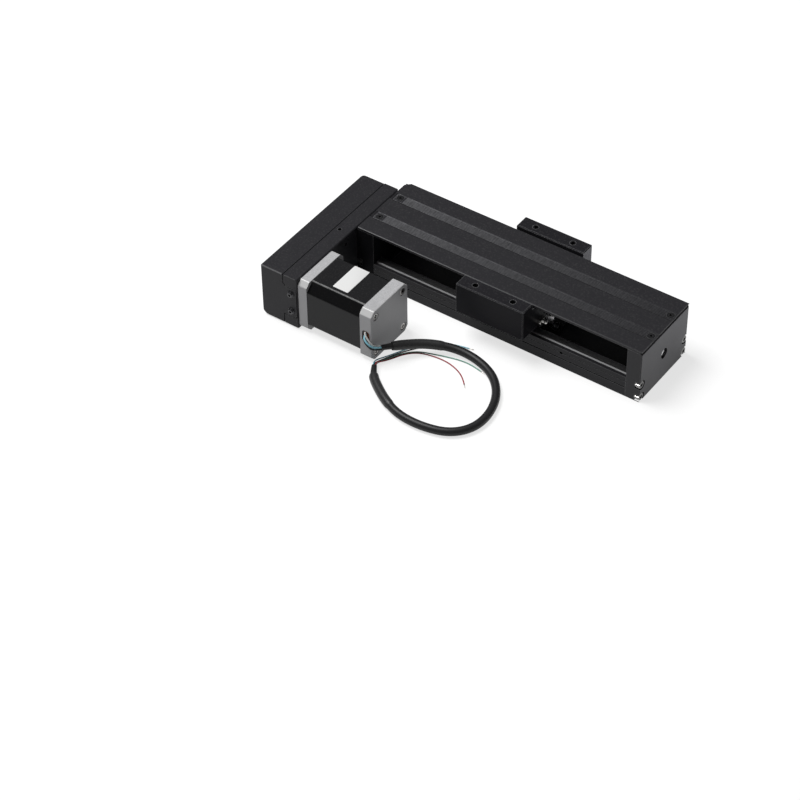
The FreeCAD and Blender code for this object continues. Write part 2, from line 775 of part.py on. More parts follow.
def motor_cap_screws():
    """Long pan-head screws with a cross recess, from the rear cap into the flange."""
    seat = motor_end_x - motor_cap_screw_recess
    length = seat - stator_x0 + motor_cap_screw_engagement
    head = Part.makeCylinder(motor_cap_screw_head_radius, motor_cap_screw_head_height)
    head = head.makeFillet(motor_cap_screw_head_height / 3, edges_on(head, z=motor_cap_screw_head_height))
    stem = Part.makeCylinder(m3_cap[0], length, Vector(0, 0, -length))
    top = motor_cap_screw_head_height
    arms = []
    for a, b in ((motor_cross_width, motor_cross_length), (motor_cross_length, motor_cross_width)):
        arms.append(box(-a / 2, a / 2, -b / 2, b / 2, top - motor_cross_depth, top))
    screw = remove(join([head, stem]), arms)
    return [turned(screw, (seat, y, z), (1, 0, 0)) for y, z in motor_hole_places()]


def motor_mount_screws():
    seat = plate_x + motor_screw_seat
    length = motor_mount_screw_length
    return [cap_screw(m3_cap, length, (seat, y, z), (-1, 0, 0)) for y, z in motor_hole_places()]


def motor_label():
    top = axis_height + motor_half - stator_inset
    middle = motor_y + label_offset_y
    return box(drive_x + label_from_face, drive_x + label_from_face + label_length,
               middle - label_width / 2, middle + label_width / 2, top, top + label_thickness)


def motor_shaft():
    x0 = drive_x - motor_shaft_reach
    return rod_x(motor_shaft_radius, x0, stator_x1 + motor_bearing_width, motor_y, axis_height)


def rotor_stack():
    x0 = stator_x0 + rotor_end_gap
    x1 = stator_x1 - rotor_end_gap
    return rod_x(rotor_radius, x0, x1, motor_y, axis_height).cut(
        rod_x(motor_shaft_radius + seat_gap, x0, x1, motor_y, axis_height))


def ball_screw():
    pulley_end = belt_x - pulley_face_width / 2 - pulley_flange_thickness
    shoulder_x = drive_x + drive_bearing_depth
    tail_bearing_x = base_x1 + tail_bearing_setback
    return join([rod_x(drive_journal_radius, pulley_end, shoulder_x, 0, axis_height),
                 rod_x(drive_shoulder_radius, shoulder_x, base_x0 + screw_end_gap, 0, axis_height),
                 rod_x(screw_radius, base_x0 + screw_end_gap, base_x1 - screw_end_gap, 0, axis_height),
                 rod_x(tail_shoulder_radius, base_x1 - screw_end_gap, tail_bearing_x, 0, axis_height),
                 rod_x(tail_journal_radius, tail_bearing_x, tail_x - tail_journal_recess, 0, axis_height)])


def lock_nut():
    x0 = drive_x - lock_nut_length
    shape = rod_x(lock_nut_radius, x0, drive_x, 0, axis_height)
    tools = [rod_x(drive_journal_radius + seat_gap, x0, drive_x, 0, axis_height)]
    half = lock_nut_slot_width / 2
    edge = lock_nut_radius - lock_nut_slot_depth
    tools.append(box(x0, drive_x, -half, half, axis_height + edge, axis_height + lock_nut_radius))
    tools.append(box(x0, drive_x, -half, half, axis_height - lock_nut_radius, axis_height - edge))
    tools.append(box(x0, drive_x, edge, lock_nut_radius, axis_height - half, axis_height + half))
    tools.append(box(x0, drive_x, -lock_nut_radius, -edge, axis_height - half, axis_height + half))
    return remove(shape, tools)


def nut_screw_places():
    a = math.radians(nut_screw_angle)
    reach_y = nut_screw_circle * math.cos(a)
    reach_z = nut_screw_circle * math.sin(a)
    return [(sy * reach_y, axis_height + sz * reach_z) for sy, sz in corners]


def wing_hole_places():
    return [(carriage_rest_x + sx * wing_hole_spacing_x / 2, sy * wing_hole_y)
            for sx, sy in corners]


def carriage_saddle():
    arm_top_z = block_height - arm_cover_gap
    right = [(race_inner_y, saddle_bottom_z), (race_inner_y, race_top_z), (race_outer_y, race_top_z),
             (race_outer_y, wing_bottom_z), (wing_outer_y, wing_bottom_z), (wing_outer_y, wing_top_z),
             (wing_inner_y, wing_top_z), (wing_inner_y, arm_top_z)]
    left = [(-y, z) for y, z in reversed(right)]
    shape = prism_x(right + left, carriage_x0, carriage_x1)
    rims = []
    for side in (-1, 1):
        rims += edges_on(shape, y=side * wing_outer_y, z=wing_top_z)
        rims += edges_on(shape, y=side * wing_inner_y, z=wing_top_z)
        for x in (carriage_x0, carriage_x1):
            rims += edges_on(shape, x=x, y=side * wing_outer_y)
    rims += edges_on(shape, x=carriage_x0, z=wing_top_z) + edges_on(shape, x=carriage_x1, z=wing_top_z)
    shape = shape.makeChamfer(wing_edge_bevel, rims)
    tools = [rod_x(nut_body_radius + seat_gap, carriage_x1 - nut_body_length, carriage_x1, 0, axis_height),
             rod_x(screw_passage_radius, carriage_x0, carriage_x1, 0, axis_height)]
    grip = nut_screw_length - nut_flange_thickness + hole_gap
    for y, z in nut_screw_places():
        tools.append(rod_x(m3_cap[0] + thread_gap, carriage_x1 - grip, carriage_x1, y, z))
    for x, y in wing_hole_places():
        tools.append(rod_z(wing_hole_radius, wing_top_z - wing_hole_depth, wing_top_z, x, y))
    tools.append(rod_x(grease_stem_radius + thread_gap, carriage_x1 - grease_stem_length, carriage_x1,
                       grease_nipple_y, grease_nipple_z))
    return remove(shape, tools)


def race_bar(side):
    """Steel bar with the carriage's half of the ball groove and a hole for the returning balls."""
    x0 = carriage_x0 + return_cap_length
    x1 = carriage_x1 - return_cap_length
    ys = sorted([side * race_inner_y, side * race_outer_y])
    shape = box(x0, x1, ys[0], ys[1], saddle_bottom_z, race_top_z)
    groove = guide_ball_radius + groove_clearance
    depth = cap_screw_length - (return_cap_length - cap_screw_head_depth) + hole_gap
    tools = [rod_x(groove, x0, x1, side * ball_line_y, groove_z),
             rod_x(groove, x0, x1, side * cap_screw_y, return_hole_z),
             rod_x(m2_cap[0] + thread_gap, x0, x0 + depth, side * cap_screw_y, cap_screw_z),
             rod_x(m2_cap[0] + thread_gap, x1 - depth, x1, side * cap_screw_y, cap_screw_z)]
    return remove(shape, tools)


def return_cap_places():
    return [(side, end) for side in (-1, 1) for end in (-1, 1)]


def return_caps():
    """Plastic caps that turn the balls round at both ends of each race bar."""
    caps = []
    for side, end in return_cap_places():
        face = carriage_x1 if end > 0 else carriage_x0
        xs = sorted([face, face - end * return_cap_length])
        ys = sorted([side * race_inner_y, side * (race_outer_y - return_cap_gap)])
        shape = box(xs[0], xs[1], ys[0], ys[1], saddle_bottom_z, race_top_z)
        heads = sorted([face, face - end * cap_screw_head_depth])
        tools = [rod_x(m2_cap[0] + hole_gap, xs[0], xs[1], side * cap_screw_y, cap_screw_z),
                 rod_x(m2_cap[1] + hole_gap / 4, heads[0], heads[1], side * cap_screw_y, cap_screw_z)]
        caps.append(remove(shape, tools))
    return caps


def return_cap_screws():
    screws = []
    for side, end in return_cap_places():
        face = carriage_x1 if end > 0 else carriage_x0
        point = (face - end * cap_screw_head_depth, side * cap_screw_y, cap_screw_z)
        screws.append(cap_screw(m2_cap, cap_screw_length, point, (end, 0, 0)))
    return screws


def guide_balls():
    run = carriage_length - 2 * return_cap_length
    count = int(run / guide_ball_pitch)
    start = carriage_rest_x - (count - 1) * guide_ball_pitch / 2
    places = [(start + i * guide_ball_pitch, side * ball_line_y) for side in (-1, 1) for i in range(count)]
    return [Part.makeSphere(guide_ball_radius, Vector(x, y, groove_z)) for x, y in places]


def ball_nut():
    x0 = carriage_x1 - nut_body_length
    x1 = carriage_x1 + nut_flange_thickness
    flange = rod_x(nut_flange_radius, carriage_x1, x1, 0, axis_height)
    flange = flange.common(box(carriage_x1, x1, -nut_flange_radius, nut_flange_radius,
                               axis_height - nut_flange_flat, axis_height + nut_flange_flat))
    shape = join([rod_x(nut_body_radius, x0, carriage_x1, 0, axis_height), flange])
    tools = [rod_x(screw_radius + nut_bore_gap, x0, x1, 0, axis_height)]
    for y, z in nut_screw_places():
        tools.append(rod_x(m3_cap[0] + hole_gap, carriage_x1, x1, y, z))
    return remove(shape, tools)


def nut_screws():
    seat = carriage_x1 + nut_flange_thickness
    return [cap_screw(m3_cap, nut_screw_length, (seat, y, z), (1, 0, 0)) for y, z in nut_screw_places()]


def grease_nipple():
    """Small lubrication nipple: threaded stem, hexagon, neck and ball tip."""
    stem = Part.makeCylinder(grease_stem_radius, grease_stem_length, Vector(0, 0, -grease_stem_length))
    hexagon = hex_key(grease_hex, grease_hex_length, grease_hex_length)
    tip_z = grease_nipple_length - grease_tip_radius
    neck = Part.makeCone(grease_tip_radius, grease_tip_radius * 0.7, tip_z - grease_hex_length,
                         Vector(0, 0, grease_hex_length))
    tip = Part.makeSphere(grease_tip_radius, Vector(0, 0, tip_z))
    place = (carriage_x1, grease_nipple_y, grease_nipple_z)
    return turned(join([stem, hexagon, neck, tip]), place, (1, 0, 0))


# Lines that the cable, leads and loose wires follow, measured from the motor's rear end face along X
cable_route = [
    (4.2, -93.5, 12.2), (12.2, -80.5, 9.6), (25.2, -67.0, 7.2), (42.2, -58.5, 4.8),
    (60.2, -58.6, 3.2), (77.2, -66.0, 3.05), (89.7, -81.0, 3.05), (95.2, -99.5, 3.05),
    (93.2, -116.0, 3.05), (82.7, -128.0, 3.05), (65.2, -132.8, 3.05), (47.2, -132.6, 3.15),
    (32.2, -127.0, 3.45), (18.2, -117.8, 3.45), (9.7, -110.6, 3.45), (5.4, -102.9, 3.4)]
sleeve_runs = 2

# Each lead leaves the notch at a height and bends round one point to its quarter of the cable core
lead_exit_x = -5.6
lead_routes = {
    "lead_blue": (1, 1, 21.8, -100.9, (1.5, -101.8, 17.4)),
    "lead_white": (-1, 1, 24.6, -99.3, (0.9, -100.1, 18.0)),
    "lead_black": (1, -1, 19.8, -100.9, (1.5, -101.8, 15.4)),
    "lead_red": (-1, -1, 17.8, -99.3, (0.9, -100.1, 15.6)),
}

# Each loose wire leaves its quarter of the cable core's far end and lies on the floor
wire_floor = 0.5
wire_routes = {
    "wire_red": (1, 1, (5.7, -95.2, 1.6), [(8.9, -88.2), (13.1, -79.6), (20.2, -72.8), (30.2, -69.9),
                                           (40.8, -69.2), (50.6, -71.6), (58.6, -76.0), (63.6, -81.4)]),
    "wire_green": (1, -1, (4.5, -94.8, 0.8), [(7.8, -87.7), (12.1, -78.9), (19.6, -71.7), (29.6, -68.2),
                                             (39.0, -65.2), (48.0, -63.0), (57.0, -62.5), (65.6, -64.4)]),
    "wire_black": (-1, -1, (3.4, -94.6, 0.8), [(6.7, -87.1), (11.1, -78.2), (16.4, -70.6), (21.0, -64.2),
                                              (25.8, -58.6)]),
    "wire_blue": (-1, 1, (2.3, -94.2, 1.6), [(5.6, -86.6), (9.9, -77.6), (14.6, -69.8), (19.8, -62.4),
                                             (26.8, -56.2), (36.2, -51.8), (46.6, -49.8)]),
}


def core_quarter(point, along, side, up):
    """Centre of one wire on the end face of the cable core, four wires to the face."""
    across = along.cross(Vector(0, 0, 1)).normalize()
    raised = across.cross(along)
    return point + (across * side + raised * up) * (wire_pitch / 2)


def lead_points(side, up, height, turn_y, bend):
    start = Vector(*cable_route[0])
    along = (Vector(*cable_route[1]) - start).normalize()
    end = core_quarter(start, along, side, up)
    exit_y = motor_y - motor_half + bushing_recess
    return [(lead_exit_x, exit_y, height), (lead_exit_x, turn_y, height), bend,
            tuple(end - along * wire_end_run), tuple(end)]


def wire_points(side, up, drop, places):
    end = Vector(*cable_route[-1])
    along = (end - Vector(*cable_route[-2])).normalize()
    start = core_quarter(end, along, side, up)
    first = [tuple(start), tuple(start + along * wire_end_run), drop]
    return first + [(x, y, wire_floor) for x, y in places]


def route_edges(name, points):
    """Straight runs joined by tangent arcs, each arc as large as its two runs allow."""
    places = [Vector(motor_end_x + x, y, z) for x, y, z in points]
    edges = []
    radii = []
    start = places[0]
    for before, corner, after in zip(places, places[1:], places[2:]):
        back = (before - corner)
        ahead = (after - corner)
        reach = 0.45 * min(back.Length, ahead.Length)
        back.normalize()
        ahead.normalize()
        turn = math.pi - back.getAngle(ahead)
        radius = reach / math.tan(turn / 2)
        radii.append(round(radius, 1))
        first = corner + back * reach
        last = corner + ahead * reach
        inward = (back + ahead).normalize()
        middle = corner + inward * (radius / math.cos(turn / 2) - radius)
        edges.append(Part.LineSegment(start, first).toShape())
        edges.append(Part.Arc(first, middle, last).toShape())
        start = last
    edges.append(Part.LineSegment(start, places[-1]).toShape())
    print(name, "bend radii", radii, "length", round(sum(e.Length for e in edges), 1))
    return edges


def tube(edges, radius):
    path = Part.Wire(edges)
    first = edges[0]
    point = first.valueAt(first.FirstParameter)
    along = first.tangentAt(first.FirstParameter)
    ring = Part.Wire(Part.makeCircle(radius, point, along))
    shape = path.makePipeShell([ring], True, False)
    section = math.pi * radius ** 2 * path.Length
    print("tube volume", round(shape.Volume, 1), "section times length", round(section, 1))
    return shape


def cable_pieces():
    """Core ends, sleeves and sheath, one after the other along the cable's line."""
    edges = route_edges("motor_cable", cable_route)
    first = 1
    second = first + 2 * sleeve_runs
    fourth = len(edges) - 2
    third = fourth - 2 * sleeve_runs
    return {
        "cable_core_ends": [tube(edges[:first], core_radius), tube(edges[fourth:], core_radius)],
        "cable_sleeve_motor_end": [tube(edges[first:second], sleeve_radius)],
        "motor_cable": [tube(edges[second:third], cable_radius)],
        "cable_sleeve_free_end": [tube(edges[third:fourth], sleeve_radius)],
    }


def bearings():
    """Ring and ball groups of the screw's and the motor's bearings."""
    drive = [bearing(drive_journal_radius, drive_bearing_outer_radius, drive_bearing_width,
                     drive_x + i * drive_bearing_width, 0, axis_height) for i in range(drive_bearing_count)]
    tail = [bearing(tail_journal_radius, tail_bearing_outer_radius, tail_bearing_width,
                    base_x1 + tail_bearing_setback, 0, axis_height)]
    motor = [bearing(motor_shaft_radius, motor_bearing_outer_radius, motor_bearing_width,
                     x, motor_y, axis_height) for x in (stator_x0 - motor_bearing_width, stator_x1)]
    groups = {}
    for name, sets in (("drive", drive), ("tail", tail), ("motor", motor)):
        groups[name + "_bearing_outer_rings"] = [s for ring, core, balls in sets for s in [ring] + balls]
        groups[name + "_bearing_inner_rings"] = [core for ring, core, balls in sets]
    return groups


def main():
    os.makedirs("parts", exist_ok=True)
    driven, driven_hub = pulley(drive_journal_radius, 0)
    driver, driver_hub = pulley(motor_shaft_radius, motor_y)
    tail_screws, tail_washers = block_screws(tail_x, tail_block_length, 1)
    drive_screws, drive_washers = block_screws(drive_x, drive_block_length, -1)
    nodes = {
        "base_profile": [base_profile()],
        "rail_strip_front": [rail_strip(-1)],
        "rail_strip_rear": [rail_strip(1)],
        "drive_end_block": [drive_end_block()],
        "tail_end_block": [tail_end_block()],
        "tail_block_screws": tail_screws,
        "drive_block_screws": drive_screws,
        "spring_washers": tail_washers + drive_washers,
        "cover_plate": [cover_plate()],
        "cover_screws": cover_screws(),
        "motor_plate": [motor_plate()],
        "motor_plate_screws": motor_plate_screws(),
        "belt_cover": [belt_cover()],
        "belt_cover_screws": belt_cover_screws(),
        "timing_belt": [timing_belt()],
        "driven_pulley": [driven],
        "driven_pulley_set_screws": set_screws(drive_journal_radius, 0, driven_hub),
        "drive_pulley": [driver],
        "drive_pulley_set_screws": set_screws(motor_shaft_radius, motor_y, driver_hub),
        "motor_flange": [motor_flange()],
        "motor_stator": [motor_stator()],
        "motor_rear_cap": [motor_rear_cap()],
        "motor_cap_screws": motor_cap_screws(),
        "motor_mount_screws": motor_mount_screws(),
        "motor_label": [motor_label()],
        "lead_bushing": [lead_bushing()],
        "motor_shaft": [motor_shaft()],
        "rotor_stack": [rotor_stack()],
        "ball_screw": [ball_screw()],
        "lock_nut": [lock_nut()],
        "carriage_saddle": [carriage_saddle()],
        "race_bar_front": [race_bar(-1)],
        "race_bar_rear": [race_bar(1)],
        "ball_return_caps": return_caps(),
        "return_cap_screws": return_cap_screws(),
        "guide_balls": guide_balls(),
        "ball_nut": [ball_nut()],
        "nut_screws": nut_screws(),
        "grease_nipple": [grease_nipple()],
    }
    nodes.update(bearings())
    nodes.update(cable_pieces())
    for name, route in wire_routes.items():
        nodes[name] = [tube(route_edges(name, wire_points(*route)), wire_radius)]
    for name, route in lead_routes.items():
        nodes[name] = [tube(route_edges(name, lead_points(*route)), lead_radius)]
    for name, solids in nodes.items():
        save(name, solids)


main()
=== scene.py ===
# %% [markdown]
# This lesson dresses a screw linear module: a black base with two steel rails, a winged carriage,
# a cover, and a square motor folded back beside it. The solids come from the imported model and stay
# where they are. We add a camera, soft light, finishes, and the pieces that plain solids can't show
# well: cable and wires, the screw's thread, knurled screws, split washers, label and bushing.

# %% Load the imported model
import json
import math

import bpy
from mathutils import Matrix, Vector


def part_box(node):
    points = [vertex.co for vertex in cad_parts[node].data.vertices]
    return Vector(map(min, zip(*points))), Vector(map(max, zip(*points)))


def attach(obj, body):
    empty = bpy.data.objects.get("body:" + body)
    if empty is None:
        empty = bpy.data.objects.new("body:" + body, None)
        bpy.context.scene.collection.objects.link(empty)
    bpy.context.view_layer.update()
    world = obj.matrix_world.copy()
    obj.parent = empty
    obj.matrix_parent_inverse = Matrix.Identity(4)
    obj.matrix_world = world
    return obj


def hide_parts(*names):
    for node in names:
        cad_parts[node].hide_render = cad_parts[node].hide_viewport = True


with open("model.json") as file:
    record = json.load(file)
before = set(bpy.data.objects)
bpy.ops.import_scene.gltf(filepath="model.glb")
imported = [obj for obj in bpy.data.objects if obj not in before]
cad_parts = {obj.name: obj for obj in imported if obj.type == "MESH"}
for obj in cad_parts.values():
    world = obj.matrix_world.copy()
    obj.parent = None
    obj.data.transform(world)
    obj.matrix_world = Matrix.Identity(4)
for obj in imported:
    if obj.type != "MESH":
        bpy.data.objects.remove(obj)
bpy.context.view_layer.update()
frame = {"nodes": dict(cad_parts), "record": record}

nodes = frame["nodes"]
scene = bpy.context.scene
MM = 0.001

# %% [markdown]
# The camera repeats the photo's view. Its place and its direction were found by matching the edges
# of the real module, so they are written as a place and two angles. The right hand axis carries the
# small roll that the photo has. A long lens keeps the far end almost as large as the near end.

# %% Camera
eye = Vector((0.72528, -1.15367, 1.19605))
elevation = math.radians(43.159)
azimuth = math.radians(35.672)
forward = Vector((-math.sin(azimuth) * math.cos(elevation),
                  math.cos(azimuth) * math.cos(elevation), -math.sin(elevation)))
right = Vector((0.81791, 0.57525, -0.01029))
right = (right - forward * right.dot(forward)).normalized()
up = right.cross(forward)
lens = bpy.data.cameras.new("photo_camera")
lens.lens = 118.75
lens.sensor_width = 36.0
lens.clip_start = 0.05
camera = bpy.data.objects.new("photo_camera", lens)
scene.collection.objects.link(camera)
axes = Matrix((right, up, -forward)).transposed().to_4x4()
camera.matrix_world = Matrix.Translation(eye) @ axes
scene.camera = camera
scene.view_settings.view_transform = "Standard"
print("camera looks", [round(v, 3) for v in forward])

# %% [markdown]
# Materials are built from nodes. A few small helpers keep the cells short: they start a finish,
# add a node with its settings, do one step of arithmetic, mix two colours, and stretch a value to
# another range. What they are given is a fixed value or another node's output.

# %% Node helpers
def start_finish(name):
    """A new material, its node tree and its one shader."""
    material = bpy.data.materials.new(name)
    material.use_nodes = True
    tree = material.node_tree
    return material, tree, tree.nodes["Principled BSDF"]


def is_linked(value):
    """True for another node's output, false for a fixed value."""
    return isinstance(value, bpy.types.NodeSocket)


def feed(tree, node, inputs):
    """Gives a node's inputs, which are named or counted, a fixed value or another node's output."""
    for key, value in inputs.items():
        if is_linked(value):
            tree.links.new(value, node.inputs[key])
        else:
            node.inputs[key].default_value = value


def add_node(tree, kind, inputs=None, **settings):
    made = tree.nodes.new(kind)
    for key, value in settings.items():
        setattr(made, key, value)
    feed(tree, made, inputs or {})
    return made


def calculate(tree, operation, *values):
    """One step of arithmetic on one or two values."""
    return add_node(tree, "ShaderNodeMath", dict(enumerate(values)), operation=operation).outputs[0]


def times(tree, first, second):
    return calculate(tree, "MULTIPLY", first, second)


def mix_colour(tree, first, second, share):
    """A mix of two colours. The node counts its share as input 0 and its colours as 6 and 7."""
    first, second = [c if is_linked(c) else (*c, 1.0) for c in (first, second)]
    mix = add_node(tree, "ShaderNodeMix", {0: share, 6: first, 7: second}, data_type="RGBA")
    return mix.outputs[2]


def remap(tree, value, low, high, from_low=0.0, from_high=1.0):
    """Stretches a value from one range to another and stops it at the ends."""
    ends = {"From Min": from_low, "From Max": from_high, "To Min": low, "To Max": high}
    return add_node(tree, "ShaderNodeMapRange", {"Value": value, **ends}).outputs["Result"]


print("node helpers ready")

# %% [markdown]
# The floor is a plain sheet under the module. A camera or a mirror sees it brighter than the lamp
# makes it, so the background reads as white, the black sides mirror it, and the module still drops
# a soft shadow. Less light bounces off it than off white paper, which keeps the undersides dark.

# %% Floor and background
def seen_directly(tree):
    """One for rays from the camera, from mirrors and through glass, else zero."""
    path = add_node(tree, "ShaderNodeLightPath")
    share = calculate(tree, "MAXIMUM", path.outputs["Is Camera Ray"], path.outputs["Is Glossy Ray"])
    return calculate(tree, "MAXIMUM", share, path.outputs["Is Transmission Ray"])


def deselect():
    """An operator acts on all that is selected, so a new piece starts with nothing selected."""
    bpy.ops.object.select_all(action="DESELECT")


FLOOR_SIZE = 12.0
FLOOR_DROP = 0.2 * MM
FLOOR_TONE = 0.40
FLOOR_LIFT = 0.70
deselect()
bpy.ops.mesh.primitive_plane_add(size=FLOOR_SIZE, location=(0, 0, -FLOOR_DROP))
floor = bpy.context.object
floor.name = "floor"
paper, tree, shader = start_finish("floor_paper")
lift = times(tree, seen_directly(tree), FLOOR_LIFT)
feed(tree, shader, {"Base Color": (FLOOR_TONE, FLOOR_TONE, FLOOR_TONE, 1), "Roughness": 0.9,
                    "Specular IOR Level": 0.0, "Emission Color": (1, 1, 1, 1),
                    "Emission Strength": lift})
floor.data.materials.append(paper)
print("floor", [round(v, 2) for v in floor.dimensions])

# %% [markdown]
# The room around gives a little light from everywhere, as the walls of a studio do. It is plain
# white, so that it fills the shadows without adding a colour to the blacks.

# %% World
WORLD_LIGHT = 0.2
world = bpy.data.worlds.new("studio")
scene.world = world
world.use_nodes = True
tree = world.node_tree
feed(tree, tree.nodes["Background"], {"Color": (1, 1, 1, 1), "Strength": WORLD_LIGHT})
print("world light", WORLD_LIGHT)

# %% [markdown]
# One large soft lamp hangs high above the motor end, a little to the front. Tops and upper corners
# catch it. The long front side and the far end get little of it: they mirror the floor, weakly on
# the front and strongly on the end faces, which are seen at a flat angle.

# %% Lamp
LAMP_PLACE = Vector((-0.62, -0.16, 1.42))
LAMP_SIZE = 1.0
LAMP_WATTS = 22
light = bpy.data.lights.new("top_lamp", "AREA")
light.shape = "DISK"
light.size = LAMP_SIZE
light.energy = LAMP_WATTS
lamp = bpy.data.objects.new("top_lamp", light)
scene.collection.objects.link(lamp)
lamp.location = LAMP_PLACE
lamp.rotation_euler = (-LAMP_PLACE).to_track_quat("-Z", "Y").to_euler()
print("lamp", lamp.name, LAMP_WATTS, "W")

# %% [markdown]
# The small pieces are modelled by hand, with the operators that a person would use in edit mode.
# Each one starts as a primitive. Helpers save typing: some go in and out of edit mode, and some
# select faces or vertices by a rule, because nobody clicks in a script.

# %% Modelling helpers
def only(piece):
    """Makes one object the selected and active one."""
    deselect()
    piece.select_set(True)
    bpy.context.view_layer.objects.active = piece


def edit(piece):
    only(piece)
    bpy.ops.object.mode_set(mode="EDIT")


def done():
    bpy.ops.object.mode_set(mode="OBJECT")


def settle():
    """Puts the selected object's place, turn and scale into its mesh."""
    bpy.ops.object.transform_apply(location=True, rotation=True, scale=True)


def pick_all():
    bpy.ops.mesh.select_all(action="SELECT")


def face_outwards():
    """Turns all faces of the mesh that is edited outwards."""
    pick_all()
    bpy.ops.mesh.normals_make_consistent(inside=False)


def pick(piece, kind, wanted):
    """Selects, in edit mode, those of the piece's vertices or polygons that are wanted."""
    done()
    mesh = piece.data
    for part in (mesh.vertices, mesh.edges, mesh.polygons):
        part.foreach_set("select", [False] * len(part))
    chosen = getattr(mesh, kind)
    chosen.foreach_set("select", [bool(wanted(item)) for item in chosen])
    bpy.context.tool_settings.mesh_select_mode = (kind == "vertices", False, kind == "polygons")
    edit(piece)


def cut_at(x, keep_low):
    """Cuts off what lies past a place along X, to one side of it, and fills the cut."""
    pick_all()
    bpy.ops.mesh.bisect(plane_co=(x, 0, 0), plane_no=(1, 0, 0), use_fill=True,
                        clear_outer=keep_low, clear_inner=not keep_low)


def push(x=0.0, y=0.0, z=0.0):
    """Extrudes what is selected by a distance."""
    bpy.ops.mesh.extrude_region_move(TRANSFORM_OT_translate={"value": (x, y, z)})


def start_cylinder(name, sides, radius, x0, x1):
    """A cylinder along X between two places, with its axis at the origin."""
    deselect()
    bpy.ops.mesh.primitive_cylinder_add(vertices=sides, radius=radius, depth=x1 - x0,
                                        location=((x0 + x1) / 2, 0, 0),
                                        rotation=(0, math.pi / 2, 0))
    settle()
    piece = bpy.context.object
    piece.name = name
    return piece


def start_plane(name, place, width, height, upright=False):
    """A rectangle that lies flat or, if upright, stands along X."""
    deselect()
    bpy.ops.mesh.primitive_plane_add(size=1.0, location=place,
                                     rotation=(math.pi / 2 if upright else 0, 0, 0))
    piece = bpy.context.object
    piece.name = name
    piece.scale = (width, height, 1)
    settle()
    return piece


def apply_modifier(piece, kind, **settings):
    only(piece)
    modifier = piece.modifiers.new(kind.lower(), kind)
    for key, value in settings.items():
        setattr(modifier, key, value)
    bpy.ops.object.modifier_apply(modifier=modifier.name)


def smooth(piece, degrees=35):
    only(piece)
    bpy.ops.object.shade_smooth_by_angle(angle=math.radians(degrees))


def copy_at(first, name, place, turned=False):
    """A copy with its own mesh, moved to its place, and turned end for end if asked."""
    only(first)
    bpy.ops.object.duplicate()
    copy = bpy.context.object
    copy.name = name
    copy.location = place
    copy.rotation_euler = (0, 0, math.pi if turned else 0)
    settle()
    return copy


def discard(piece):
    mesh = piece.data
    bpy.data.objects.remove(piece)
    bpy.data.meshes.remove(mesh)


print("modelling helpers ready")

# %% [markdown]
# The motor cable lies on the floor in one open loop. A cable is a fixed length of something that
# bends smoothly, so its line is a curve with a few control points, not a chain of straight tubes.
# The points are those of the solid's route, in millimetres, with X from the motor's rear face.

# %% Cable route
MOTOR_END_X = -55.2
LINE_STEPS = 10
LINE_ROUNDNESS = 5
cable_route = [
    (4.2, -93.5, 12.2), (12.2, -80.5, 9.6), (25.2, -67.0, 7.2), (42.2, -58.5, 4.8),
    (60.2, -58.6, 3.2), (77.2, -66.0, 3.05), (89.7, -81.0, 3.05), (95.2, -99.5, 3.05),
    (93.2, -116.0, 3.05), (82.7, -128.0, 3.05), (65.2, -132.8, 3.05), (47.2, -132.6, 3.15),
    (32.2, -127.0, 3.45), (18.2, -117.8, 3.45), (9.7, -110.6, 3.45), (5.4, -102.9, 3.4)]


def placed(point):
    x, y, z = point
    return Vector(((MOTOR_END_X + x) * MM, y * MM, z * MM))


def start_cord(name, kind, points, depth, widths, roundness):
    """A tube on one spline. Its radius at each point is the depth times the width there."""
    data = bpy.data.curves.new(name, "CURVE")
    data.dimensions = "3D"
    data.bevel_depth = depth
    data.bevel_resolution = roundness
    data.use_fill_caps = True
    spline = data.splines.new(kind)
    spline.points.add(len(points) - 1)
    for made, place, width in zip(spline.points, points, widths):
        made.co = (*place, 1.0)
        made.radius = width
    cord = bpy.data.objects.new(name, data)
    scene.collection.objects.link(cord)
    return cord


def smooth_line(name, points, radius, widths=None):
    """A round cord on one smooth spline that its control points pull into shape. The depth is one
    metre, so the points hold the cord's real radius."""
    radii = [radius * width for width in widths or [1.0] * len(points)]
    cord = start_cord(name, "NURBS", points, 1.0, radii, LINE_ROUNDNESS)
    cord.data.resolution_u = LINE_STEPS
    spline = cord.data.splines[0]
    spline.order_u = 3
    spline.use_endpoint_u = True
    return cord


def line_points(cord):
    """The spline's own points, read from a copy with no thickness."""
    bare = bpy.data.objects.new("bare_line", cord.data.copy())
    bare.data.bevel_depth = 0.0
    mesh = bpy.data.meshes.new_from_object(bare)
    points = [v.co.copy() for v in mesh.vertices]
    data = bare.data
    bpy.data.objects.remove(bare)
    bpy.data.curves.remove(data)
    bpy.data.meshes.remove(mesh)
    return points


def line_length(points):
    return sum((b - a).length for a, b in zip(points, points[1:]))


def stretch(points, start, end):
    """The part of a line between two distances along it."""
    part = []
    travelled = 0.0
    for a, b in zip(points, points[1:]):
        if start <= travelled <= end:
            part.append(a)
        travelled += (b - a).length
    return part


def tapered(end_widths, count):
    """Widths for a number of points, narrow at both ends and full between them."""
    return [*end_widths, *[1.0] * (count - 2 * len(end_widths)), *reversed(end_widths)]


CABLE_RADIUS = 3.0 * MM
JACKET_TAPER = (0.62, 0.8)
route = [placed(p) for p in cable_route]
widths = tapered(JACKET_TAPER, len(route))
cable = smooth_line("motor_cable_line", route, CABLE_RADIUS, widths)
cable_points = line_points(cable)
cable_length = line_length(cable_points)
print("cable length mm", round(cable_length / MM, 1), "points", len(cable_points))

# %% [markdown]
# Each end of the jacket wears a shrunk sleeve. It follows the cable's own line, so its path is read
# from the spline, and its ends are narrower because the tube shrinks most where the jacket stops.

